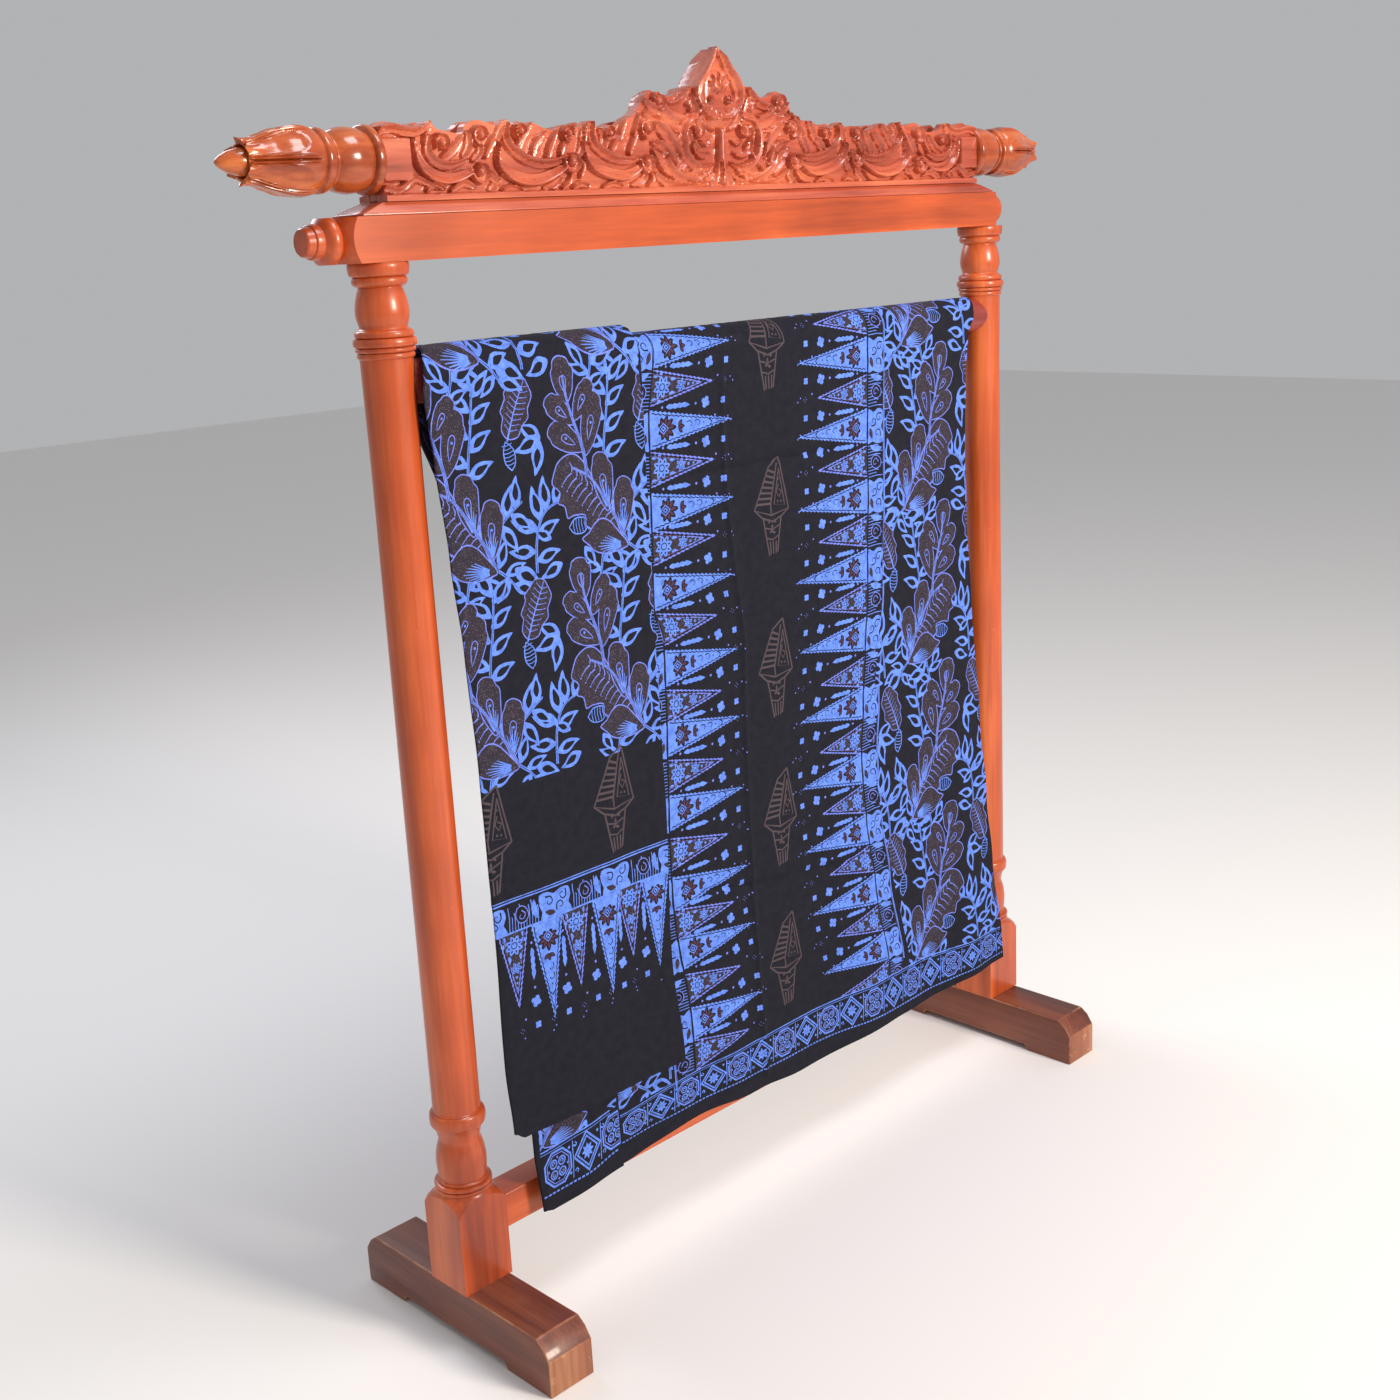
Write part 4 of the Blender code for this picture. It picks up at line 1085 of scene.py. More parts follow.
    def build(self) -> bpy.types.Object:
        """Cut the sheet along its print, dye it and hang it on the rod.

        Returns:
            The leaf.
        """
        points: list[tuple[float, float]] = []
        lines: list[tuple[int, int]] = []
        edge = self.outline()
        for loop in [edge, *self.regions, *(loop for _, loop, _ in self.shapes)]:
            start = len(points)
            for (ax, ay), (bx, by) in zip(loop, loop[1:] + loop[:1]):
                steps = max(1, math.ceil(math.hypot(bx - ax, by - ay) / longest_side(ay)))
                points.extend((ax + (bx - ax) * k / steps, ay + (by - ay) * k / steps) for k in range(steps))
            count = len(points) - start
            lines.extend((start + k, start + (k + 1) % count) for k in range(count))
        flat, triangles = triangulated(points, lines)
        borders = straightened(flat, colour_borders(*self.dyed(flat, triangles, edge)))
        used, packed = np.unique(np.array(borders), return_inverse=True)
        points, lines = self.grid(edge)
        start = len(points)
        points += [tuple(p) for p in flat[used].tolist()]
        lines += [(start + a, start + b) for a, b in packed.reshape(-1, 2).tolist()]
        flat, triangles = triangulated(points, lines)
        triangles, dyes = self.dyed(flat, triangles, edge)
        used, packed = np.unique(triangles, return_inverse=True)
        packed = packed.reshape(triangles.shape)
        spots = self.surface(flat[used, 0], flat[used, 1])
        mesh = bpy.data.meshes.new(self.name)
        mesh.from_pydata(spots.tolist(), [], packed.tolist())
        layer = mesh.uv_layers.new(name="flat_cloth")
        layer.data.foreach_set("uv", flat[used][packed.ravel()].ravel())
        for dye in Dye:
            mesh.materials.append(bpy.data.materials.get(f"dyed_cotton_{dye.name.lower()}")
                                  or DyedCotton(dye).build())
        mesh.polygons.foreach_set("material_index", dyes.tolist())
        mesh.polygons.foreach_set("use_smooth", [True] * len(dyes))
        mesh.update()
        made = bpy.data.objects.new(self.name, mesh)
        bpy.context.scene.collection.objects.link(made)
        LOG.info("%s: %d triangles, %d printed loops", self.name, len(dyes), len(self.shapes))
        return made


def inside(places: np.ndarray, ring: np.ndarray) -> np.ndarray:
    """Tell which places lie inside a loop, by its winding."""
    winding = np.zeros(len(places), dtype=int)
    px, py = places[:, 0], places[:, 1]
    for (ax, ay), (bx, by) in zip(ring, np.roll(ring, -1, axis=0)):
        side = (bx - ax) * (py - ay) - (px - ax) * (by - ay)
        winding += ((ay <= py) & (by > py) & (side > 0.0)).astype(int)
        winding -= ((ay > py) & (by <= py) & (side < 0.0)).astype(int)
    return winding != 0


def triangulated(points: Spots, lines: list[tuple[int, int]]) -> tuple[np.ndarray, np.ndarray]:
    """Cut the plane into triangles along lines.

    Args:
        points: the corners.
        lines: pairs of corners that stay joined.

    Returns:
        The corners' places and three corners of each triangle.
    """
    cut = delaunay_2d_cdt([Vector(p) for p in points], lines, [], 0, 1e-7, False)
    return np.array([tuple(p) for p in cut[0]]), np.array([tuple(t) for t in cut[2] if len(t) == 3])


def colour_borders(triangles: np.ndarray, dyes: np.ndarray) -> np.ndarray:
    """Edges of triangles between two dyes or at the cloth's rim."""
    sides = np.sort(np.concatenate([triangles[:, (0, 1)], triangles[:, (1, 2)], triangles[:, (2, 0)]]), axis=1)
    dye = np.tile(dyes, 3)
    order = np.lexsort((sides[:, 1], sides[:, 0]))
    sides, dye = sides[order], dye[order]
    twin = (sides[:-1] == sides[1:]).all(axis=1)
    first, second = np.append(twin, False), np.insert(twin, 0, False)
    return sides[(~first & ~second) | (first & (dye != np.roll(dye, -1)))]


def straightened(flat: np.ndarray, borders: np.ndarray, slack: float = BORDER_SLACK) -> list[tuple[int, int]]:
    """Leave out corners where a border runs nearly straight.

    Args:
        flat: flat places of the corners.
        borders: pairs of corners.
        slack: how far a border may move.

    Returns:
        Pairs of the corners that stay.
    """
    near: dict[int, set[int]] = {}
    for a, b in borders.tolist():
        near.setdefault(a, set()).add(b)
        near.setdefault(b, set()).add(a)
    places = flat.tolist()
    for _ in range(4):
        settled: set[int] = set()
        for corner in list(near):
            if corner in settled or len(near[corner]) != 2:
                continue
            a, b = near[corner]
            if b in near[a]:
                continue
            (ax, ay), (bx, by), (cx, cy) = places[a], places[b], places[corner]
            size = math.hypot(bx - ax, by - ay)
            allowed = slack * (3.0 if cy > WRAP_END else 1.0)
            off = abs((cx - ax) * (by - ay) - (cy - ay) * (bx - ax))
            if 0.0 < size < longest_side(cy) and off / size < allowed:
                near[a].remove(corner)
                near[b].remove(corner)
                near[a].add(b)
                near[b].add(a)
                del near[corner]
                settled.update((a, b))
    return [(a, b) for a in near for b in near[a] if a < b]


def thin(loop: Loop, slack: float) -> Loop:
    """Leave out every other point of a loop where that moves its line by less than the slack."""
    for _ in range(2):
        kept = []
        dropped = False
        count = len(loop)
        for i, (x, y) in enumerate(loop):
            if count > 5 and not dropped:
                (ax, ay), (bx, by) = loop[i - 1], loop[(i + 1) % count]
                dx, dy = bx - ax, by - ay
                size = math.hypot(dx, dy)
                if size > 0.0 and abs((x - ax) * dy - (y - ay) * dx) / size < slack and math.hypot(dx, dy) < 0.02:
                    dropped = True
                    continue
            dropped = False
            kept.append((x, y))
        if len(kept) < 3:
            return loop
        loop = kept
    return loop


def longest_side(s: float) -> float:
    """How long a border's side may be at a flat height: short over the rod, where the cloth bends."""
    return 0.006 if ROD_Z - 0.01 < s < WRAP_END + 0.01 else 0.012


def placed(x0: float, s0: float, across: float = 1.0, up: float = 1.0) -> Place:
    """Where a design lands when its origin is put at x0, s0 and it is stretched, or mirrored by a minus sign."""
    return lambda x, y: (x0 + across * x / MM, s0 + y * up / MM)


WIDE_EDGES = Edges(
    right=(
        ((0.152, 0.613), (0.198, 0.61), (0.342, 0.588), (0.47, 0.574), (0.61, 0.56), (0.827, 0.542), (0.96, 0.534),
         (1.083, 0.531), (1.2, 0.536), (1.278, 0.545), (1.298, 0.56), (1.33, 0.576)),
        ((0.24, 0.564), (0.9, 0.56), (1.298, 0.576)),
    ),
    left=(((0.14, -0.478), (0.241, -0.485), (0.7, -0.495), (1.298, -0.515), (1.33, -0.515)),
          ((0.24, -0.43), (0.9, -0.45), (1.12, -0.47), (1.298, -0.515))),
    turned=(((0.149, -0.329), (0.6, -0.333), (1.298, -0.335), (1.33, -0.335)),
            ((0.24, -0.3), (0.9, -0.315), (1.298, -0.335))),
)
OVER_EDGES = Edges(
    right=(((0.272, -0.199), (0.442, -0.212), (0.671, -0.204), (0.907, -0.204), (1.104, -0.202), (1.298, -0.2),
            (1.342, -0.2)), ((0.34, -0.196), (0.9, -0.2), (1.298, -0.2))),
    left=(
        ((0.286, -0.521), (0.39, -0.526), (0.548, -0.522), (0.799, -0.523), (0.96, -0.529), (1.078, -0.538),
         (1.2, -0.548), (1.287, -0.556), (1.306, -0.552), (1.3145, -0.545), (1.3228, -0.535), (1.331, -0.531)),
         ((0.34, -0.45), (0.9, -0.46), (1.12, -0.48), (1.298, -0.531)),
    ),
    turned=(((0.27, -0.32), (1.342, -0.32)), ((0.34, -0.3), (1.298, -0.32))),
)
WIDE_HEM = ((-0.485, 0.15), (-0.465, 0.144), (-0.33, 0.152), (-0.16, 0.164), (-0.04, 0.154), (0.07, 0.145),
            (0.33, 0.147), (0.5, 0.15), (0.613, 0.152))
OVER_HEM = ((-0.525, 0.288), (-0.505, 0.276), (-0.43, 0.274), (-0.199, 0.27))
LEFT_BASE = ((0.301, -0.169), (0.516, -0.191), (0.903, -0.177), (0.953, -0.191), (1.1, -0.185), (1.2, -0.18),
             (1.318, -0.163))
RIGHT_BASE = ((0.237, 0.289), (0.408, 0.259), (0.517, 0.243), (0.62, 0.237), (0.71, 0.246), (0.8, 0.257),
              (0.9, 0.269), (1.068, 0.278), (1.312, 0.287))
BAND_TOP = ((-0.316, 0.2247), (-0.155, 0.2336), (0.072, 0.2326), (0.327, 0.2242), (0.555, 0.2117), (0.613, 0.209))
# where the print sits on the wide leaf: the field's left edge and the triangles' tips as (s, x),
# and the faint ornaments as (s, x, height in mm)
FIELD_EDGE = ((0.2, 0.345), (0.25, 0.345), (0.392, 0.311), (0.506, 0.284), (0.63, 0.268), (0.729, 0.277),
              (0.871, 0.307), (0.936, 0.310), (1.068, 0.322), (1.312, 0.331))
LONG_LEFT = ((1.197, -0.018), (1.0845, -0.022), (0.973, -0.030), (0.861, -0.030), (0.7586, -0.033), (0.648, -0.033),
             (0.5245, -0.033), (0.43, -0.030), (0.313, -0.020))
SHORT_LEFT = ((1.1435, -0.055), (1.035, -0.060), (0.919, -0.066), (0.806, -0.066), (0.703, -0.070), (0.586, -0.070),
              (0.477, -0.066), (0.371, -0.060), (1.2535, -0.05), (0.262, -0.050))
LONG_RIGHT = ((0.9335, 0.104), (0.825, 0.106), (0.715, 0.100), (0.6076, 0.098), (0.5028, 0.10), (0.395, 0.11),
              (0.287, 0.13), (1.0425, 0.115), (1.1515, 0.12), (1.2605, 0.125))
SHORT_RIGHT = ((0.882, 0.150), (0.7645, 0.148), (0.6566, 0.14), (0.5552, 0.14), (0.45, 0.15), (0.341, 0.16),
               (0.988, 0.155), (1.097, 0.16), (1.206, 0.165))
LANTERNS = ((1.30, 0.062, 150.0), (1.057, 0.058, 150.0), (0.812, 0.052, 155.0), (0.576, 0.046, 158.0),
            (0.343, 0.042, 156.0), (1.55, 0.062, 150.0), (1.80, 0.062, 150.0), (2.03, 0.062, 150.0))
BAND_LOW = ((-0.316, 0.1874), (-0.155, 0.1899), (0.072, 0.1828), (0.327, 0.1694), (0.555, 0.166), (0.613, 0.166))


@dataclass
class Cloth:
    """The batik cloth: a wide leaf whose left side is turned over, and a narrower leaf over it."""

    pitch: float = 0.1095

    def strip_place(self, foot: Callable[[float], float], s0: float, side: float) -> Place:
        """Where a cell of the ornament strip lands behind a foot line."""
        return lambda x, y: (foot(s0 + y / MM) + side * (x - 1.5) / MM,
                             s0 + (y - 2.0) / MM * self.pitch / STRIP_PITCH)

    def column(self, leaf: PrintedLeaf, base: Table, side: float, long_tips: Table, short_tips: Table) -> None:
        """Stamp a column of triangles with its ornament strip.

        Args:
            leaf: the leaf it goes on.
            base: (height, x) of the triangles' foot line.
            side: 1 where the triangles point to the right, -1 to the left.
            long_tips: (s, x) of the long triangles' tips.
            short_tips: (s, x) of the short ones.
        """
        def foot(s: float) -> float:
            return table_value(base, s)

        def beside(origin: float, scale: float) -> Place:
            return lambda x, y: (foot(origin + y / MM) + side * x * scale, origin + y / MM)

        for design, length, tips in ((long_triangle(), LONG_LENGTH, long_tips),
            (short_triangle(), SHORT_LENGTH, short_tips)):
            for s0, tip_x in tips:
                leaf.stamp(design, beside(s0, abs(tip_x - foot(s0)) / length))
        gap = between_triangles()
        marks = sorted([s for s, _ in long_tips] + [s for s, _ in short_tips])
        for low, high in zip(marks, marks[1:]):
            middle = (low + high) / 2.0
            leaf.stamp(gap, lambda x, y, m=middle: (foot(m + y / MM) + side * x / MM, m + y / MM))
        strip = strip_stamp()
        for s0, _ in long_tips:
            leaf.stamp(strip, self.strip_place(foot, s0, side))
        low, high = marks[0] - COLUMN_ROOM, marks[-1] + COLUMN_ROOM
        line = Stamp()
        count = int((high - low) / 0.01)
        for dye, off, width in ((Dye.BLUE, -43.0, 2.0), (Dye.PALE, -40.3, 0.9), (Dye.GROUND, -1.0, 1.8)):
            line.fill(dye, band([10.0 * k for k in range(count)], off, width, upright=True))
        leaf.stamp(line, lambda x, y: (foot(low + y / MM) + side * x / MM, low + y / MM))

    def field(self, leaf: PrintedLeaf, tops: Table, region: int, across: float, turned: bool = False) -> None:
        """Stamp the leaf field: one cell under each big leaf's top (x, s), mirrored where across is -1."""
        for design in field_stamps():
            for x0, s0 in tops:
                leaf.stamp(design, placed(x0, s0, across), region, turned)

    def border(self, leaf: PrintedLeaf, start: float, end: float, top: Table, low: Table,
               turned: bool = False) -> None:
        """Stamp the hem border between two x, from its low line to its top line."""
        design = border_stamp()

        def place(x: float, y: float) -> tuple[float, float]:
            a, b = table_value(low, x), table_value(top, x)
            return (x, a + (b - a) * y / BORDER_HEIGHT)

        for k in range(math.ceil((end - start) / BORDER_PITCH)):
            x0 = start + BORDER_PITCH * k + 0.028
            leaf.stamp(design, lambda x, y, x0=x0: place(min(end, x0 + x / MM), y), turned=turned)
        line = Stamp()
        run = [10.0 * k for k in range(int((end - start) * 100))]
        for y, width in ((57.0, 1.9), (53.4, 0.9)):
            line.fill(Dye.BLUE, band(run, y, width))
        for k in range(int((end - start) / 0.0075)):
            line.fill(Dye.BLUE, band([7.5 * k, 7.5 * k + 5.0], -5.0, 2.4))
        leaf.stamp(line, lambda x, y: place(start + x / MM, y), turned=turned)

    def wide_leaf(self) -> PrintedLeaf:
        """The wide leaf with its two triangle columns, faint ornaments, leaf field and border."""
        ridge = Crease(((-0.031, 1.31), (-0.035, 1.25), (-0.040, 1.17), (-0.038, 1.08), (-0.029, 0.99),
                        (-0.016, 0.87), (-0.0215, 0.78), (-0.025, 0.62), (-0.026, 0.46), (-0.022, 0.30),
                        (-0.018, 0.16)), 0.0042, 0.0038)
        across = Crease(((-0.10, 1.128), (0.02, 1.127), (0.23, 1.126)), 0.0036, -0.0032)
        slant = Crease(((-0.135, 0.515), (-0.024, 0.490), (0.085, 0.476), (0.18, 0.4635), (0.28, 0.454)), 0.0036,
                       -0.0034)
        leaf = PrintedLeaf("cloth_wide_leaf_print", WIDE_EDGES, WIDE_HEM, 0.24, (0.0, 0.004), (ridge, across, slant),
                           (1.24, 2.30), (-0.53, 0.30, -0.212, 2.2))
        top_line = [(x, table_value(BAND_TOP, x) + 0.002) for x in (0.345, 0.45, 0.55, 0.66)]
        right_field = leaf.add_region(top_line + [(0.66, 2.20), (0.331, 2.20)]
            + [(x, s) for s, x in reversed(FIELD_EDGE)])
        low_field = leaf.add_region([(-0.47, 0.236), (-0.33, 0.230), (-0.215, 0.236), (-0.215, 0.34), (-0.47, 0.34)])
        flap_field = leaf.add_region([(-0.478, 0.236), (-0.40, 0.243), (-0.334, 0.249), (-0.334, 0.36),
            (-0.478, 0.36)], True)
        left_foot = leaf.add_region([(-0.26, 0.238), (-0.12, 0.2385), (-0.12, 0.34), (-0.26, 0.34)])
        strip = strip_stamp()
        leaf.stamp(strip, self.strip_place(lambda s: -0.1705, 0.2035, 1.0), left_foot)
        # the columns' listed tips, then evenly spaced ones over the rod and down the back
        more = [k * self.pitch for k in range(1, 9)]
        long_left, short_left, long_right, short_right = (
            [*tips, *((last + k, x) for k in more)]
            for tips, last, x in ((LONG_LEFT, 1.197, -0.015), (SHORT_LEFT, 1.2535, -0.05),
                                  (LONG_RIGHT, 1.2605, 0.127), (SHORT_RIGHT, 1.206, 0.165)))
        self.column(leaf, LEFT_BASE, 1.0, long_left, short_left)
        self.column(leaf, RIGHT_BASE, -1.0, long_right, short_right)
        border_line = [(x, table_value(BAND_TOP, x) + 0.004) for x in (0.0, 0.11, 0.22, 0.33)]
        right_foot = leaf.add_region(border_line + [(0.33, 0.36), (0.0, 0.36)])
        base, reach = 0.235, 0.127
        leaf.stamp(short_triangle(), lambda x, y: (table_value(RIGHT_BASE, base + y / MM) - x * reach / SHORT_LENGTH,
            base + y / MM), right_foot)
        leaf.stamp(strip, self.strip_place(lambda s: 0.289, 0.1775, -1.0), right_foot)
        faint = lantern_stamp()
        for s0, x0, height in LANTERNS:
            leaf.stamp(faint, placed(x0, s0, 1.0, height / LANTERN_HEIGHT))
        columns = (-CELL_WIDTH, 0.0, CELL_WIDTH)
        tops = [(0.470 + dx, s) for s in (1.265, 1.01, 0.741, 0.489) for dx in columns]
        tops += [(0.47 + dx, 1.525 + 0.26 * k) for k in range(3) for dx in columns]
        self.field(leaf, tops, right_field, -1.0)
        self.field(leaf, [(-0.385, 0.512), (-0.159, 0.512)], low_field, 1.0)
        self.field(leaf, [(-0.372, 0.500), (-0.598, 0.500)], flap_field, -1.0, True)
        self.border(leaf, -0.325, 0.62, BAND_TOP, BAND_LOW)
        flap_top = ((-0.478, 0.231), (-0.40, 0.238), (-0.33, 0.245))
        flap_low = ((-0.478, 0.172), (-0.40, 0.176), (-0.33, 0.186))
        self.border(leaf, -0.478, -0.331, flap_top, flap_low, turned=True)
        back_top, back_low = (tuple((x, leaf.end - rise) for x in (-0.5, 0.6)) for rise in (0.094, 0.04))
        self.border(leaf, -0.43, 0.60, back_top, back_low)
        return leaf

    def over_leaf(self) -> PrintedLeaf:
        """The narrower leaf with its leaf field, faint ornaments, strip and row of triangles."""
        folds = (
            Crease(((-0.30, 1.28), (-0.31, 0.9), (-0.315, 0.45)), 0.012, 0.0009),
            Crease(((-0.53, 0.62), (-0.40, 0.60), (-0.20, 0.59)), 0.005, -0.0010),
        )
        leaf = PrintedLeaf("cloth_over_leaf_print", OVER_EDGES, OVER_HEM, 0.34, (0.012, 0.008), folds, (0.54, 2.12))
        region = leaf.add_region([(-0.60, 0.772), (-0.15, 0.766), (-0.15, 2.45), (-0.60, 2.45)])
        columns = (-CELL_WIDTH, 0.0, CELL_WIDTH)
        tops = [(x + dx, s) for s, x in ((1.308, -0.343), (1.048, -0.335)) for dx in columns]
        tops += [(-0.343 + dx, 1.568 + 0.26 * k) for k in range(4) for dx in columns]
        self.field(leaf, tops, region, 1.0)
        faint = lantern_stamp()
        for x0 in (-0.30, -0.52):
            leaf.stamp(faint, placed(x0, 0.702))
        foot = 0.571

        def down(x0: float, scale: float) -> Place:
            return lambda x, y: (x0 + y / MM, foot - x * scale)

        strip = strip_stamp()
        for k in range(4):
            leaf.stamp(strip, lambda x, y, k=k: ((y - 532.0 + 112.0 * k) / MM, foot - x / MM))
        for design, length, tips in (
            (short_triangle(), SHORT_LENGTH, ((-0.4954, 0.460), (-0.3876, 0.455), (-0.2849, 0.462))),
            (long_triangle(), LONG_LENGTH, ((-0.4379, 0.427), (-0.329, 0.424), (-0.235, 0.432))),
        ):
            for x0, tip in tips:
                leaf.stamp(design, down(x0, (foot - tip) / length))
        gap = between_triangles()
        for x0 in (-0.467, -0.413, -0.358, -0.307, -0.26):
            leaf.stamp(gap, lambda x, y, x0=x0: (x0 + y / MM, foot - x / MM))
        line = Stamp()
        for off, width in ((-1.0, 2.4), (41.5, 2.0), (45.5, 1.4)):
            line.fill(Dye.BLUE, band([10.0 * k for k in range(34)], off, width))
        leaf.stamp(line, placed(-0.532, foot))
        return leaf

    def build(self) -> list[bpy.types.Object]:
        """Make both leaves.

        Returns:
            The wide leaf and the leaf over it.
        """
        made = []
        for leaf, cad, under in ((self.wide_leaf(), "cloth_wide_leaf", "cloth_rod"),
                                 (self.over_leaf(), "cloth_over_leaf", "cloth_wide_leaf")):
            piece = leaf.build()
            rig.ride(piece, "root")
            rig.replaces(piece, cad)
            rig.slot(piece, "dyed_cotton")
            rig.sheet(piece, flat=leaf.flat, held="draped", rests_on=[under])
            made.append(piece)
        return made


# ---------------------------------------------------------------- the stand

SIDES = 64
POST_LEFT_X, POST_RIGHT_X = -0.5772, 0.6202


def solo(piece: bpy.types.Object) -> None:
    """Select one piece and make it active."""
    bpy.ops.object.select_all(action="DESELECT")
    piece.select_set(True)
    bpy.context.view_layer.objects.active = piece


def apply_modifiers(piece: bpy.types.Object) -> None:
    """Apply a piece's modifiers in order."""
    solo(piece)
    for modifier in list(piece.modifiers):
        bpy.ops.object.modifier_apply(modifier=modifier.name)


def finish_piece(piece: bpy.types.Object, material: bpy.types.Material, slot: str, nodes: Sequence[str],
                 angle: float = 32.0) -> bpy.types.Object:
    """Shade, dress and declare a finished piece.

    Args:
        piece: the piece.
        material: its finish.
        slot: the record's slot.
        nodes: the CAD nodes that it stands for.
        angle: edges sharper than this stay sharp, in degrees.

    Returns:
        The piece.
    """
    solo(piece)
    bpy.ops.object.mode_set(mode="EDIT")
    bpy.ops.mesh.select_all(action="SELECT")
    bpy.ops.mesh.remove_doubles(threshold=0.000005)
    bpy.ops.mesh.normals_make_consistent(inside=False)
    bpy.ops.object.mode_set(mode="OBJECT")
    bpy.ops.object.shade_smooth_by_angle(angle=math.radians(angle))
    piece.data.materials.clear()
    piece.data.materials.append(material)
    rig.ride(piece, "root")
    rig.slot(piece, slot)
    if nodes:
        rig.replaces(piece, *nodes)
    LOG.info("%s: %d faces", piece.name, len(piece.data.polygons))
    return piece


def turn(name: str, axis: str, centre: tuple[float, float, float], rows: Spots,
         sides: int = SIDES) -> bpy.types.Object:
    """Turn a solid on a lathe: a circle drawn out row by row.

    Args:
        name: the piece's name.
        axis: "X" or "Z".
        centre: a point of the axis; rows are measured from it.
        rows: (distance along the axis, radius) in order.
        sides: sides of each ring.

    Returns:
        The turned solid with both ends closed.
    """
    bpy.ops.object.select_all(action="DESELECT")
    facing = (0.0, math.pi / 2.0, 0.0) if axis == "X" else (0.0, 0.0, 0.0)
    bpy.ops.mesh.primitive_circle_add(vertices=sides, radius=rows[0][1], fill_type="NGON", location=(0.0, 0.0, 0.0),
        rotation=facing)
    piece = bpy.context.object
    piece.name = name
    bpy.ops.object.transform_apply(location=True, rotation=True, scale=True)
    along = Vector((1.0, 0.0, 0.0)) if axis == "X" else Vector((0.0, 0.0, 1.0))
    start = Vector(centre) + along * rows[0][0]
    bpy.ops.object.mode_set(mode="EDIT")
    bpy.ops.mesh.select_all(action="SELECT")
    bpy.ops.transform.translate(value=start)
    for (low, radius), (high, after) in zip(rows, rows[1:]):
        step = along * (high - low)
        bpy.ops.mesh.extrude_region_move(TRANSFORM_OT_translate={"value": step})
        grow = after / radius
        value = (1.0, grow, grow) if axis == "X" else (grow, grow, 1.0)
        bpy.ops.transform.resize(value=value, center_override=Vector(centre) + along * high)
    bpy.ops.object.mode_set(mode="OBJECT")
    return piece


def faired(segments: Sequence[Spots], per: int = 3) -> Loop:
    """Rows of a turned profile: smooth within each segment, with a crisp corner between segments."""
    rows: list[tuple[float, float]] = []
    for segment in segments:
        run = smooth(segment, False, per) if len(segment) > 2 else list(segment)
        for row in run:
            if not rows or math.dist(row, rows[-1]) > 1e-6:
                rows.append((row[0], max(0.0004, row[1])))
    return rows


def box_piece(name: str, low: Sequence[float], high: Sequence[float]) -> bpy.types.Object:
    """A squared bar between two corners, with its place in its mesh."""
    bpy.ops.object.select_all(action="DESELECT")
    bpy.ops.mesh.primitive_cube_add(size=1.0, location=(0.0, 0.0, 0.0))
    piece = bpy.context.object
    piece.name = name
    bpy.ops.object.mode_set(mode="EDIT")
    bpy.ops.mesh.select_all(action="SELECT")
    bpy.ops.transform.resize(value=[b - a for a, b in zip(low, high)], center_override=(0.0, 0.0, 0.0))
    bpy.ops.transform.translate(value=[(a + b) / 2.0 for a, b in zip(low, high)])
    bpy.ops.object.mode_set(mode="OBJECT")
    return piece


def cut_with(piece: bpy.types.Object, tool: bpy.types.Object, operation: str) -> None:
    """Cut a piece with a tool piece and take the tool away."""
    modifier = piece.modifiers.new("cut", "BOOLEAN")
    modifier.operation = operation
    modifier.solver = "EXACT"
    modifier.object = tool
    apply_modifiers(piece)
    bpy.data.objects.remove(tool, do_unlink=True)


def soften(piece: bpy.types.Object, width: float) -> None:
    """Round a piece's sharp edges by a width."""
    modifier = piece.modifiers.new("worn_edges", "BEVEL")
    modifier.width = width
    modifier.segments = 3
    modifier.limit_method = "ANGLE"
    modifier.angle_limit = math.radians(20.0)
    modifier.harden_normals = False
    apply_modifiers(piece)


def clamped(value: float) -> float:
    """A value kept between 0 and 1."""
    return min(1.0, max(0.0, value))


def chained(first: tuple[float, float], *runs: Spots) -> tuple[Spots, ...]:
    """Segments of a turned profile, each starting where the one before it ends."""
    made = []
    for run in runs:
        made.append((first, *run))
        first = run[-1]
    return tuple(made)


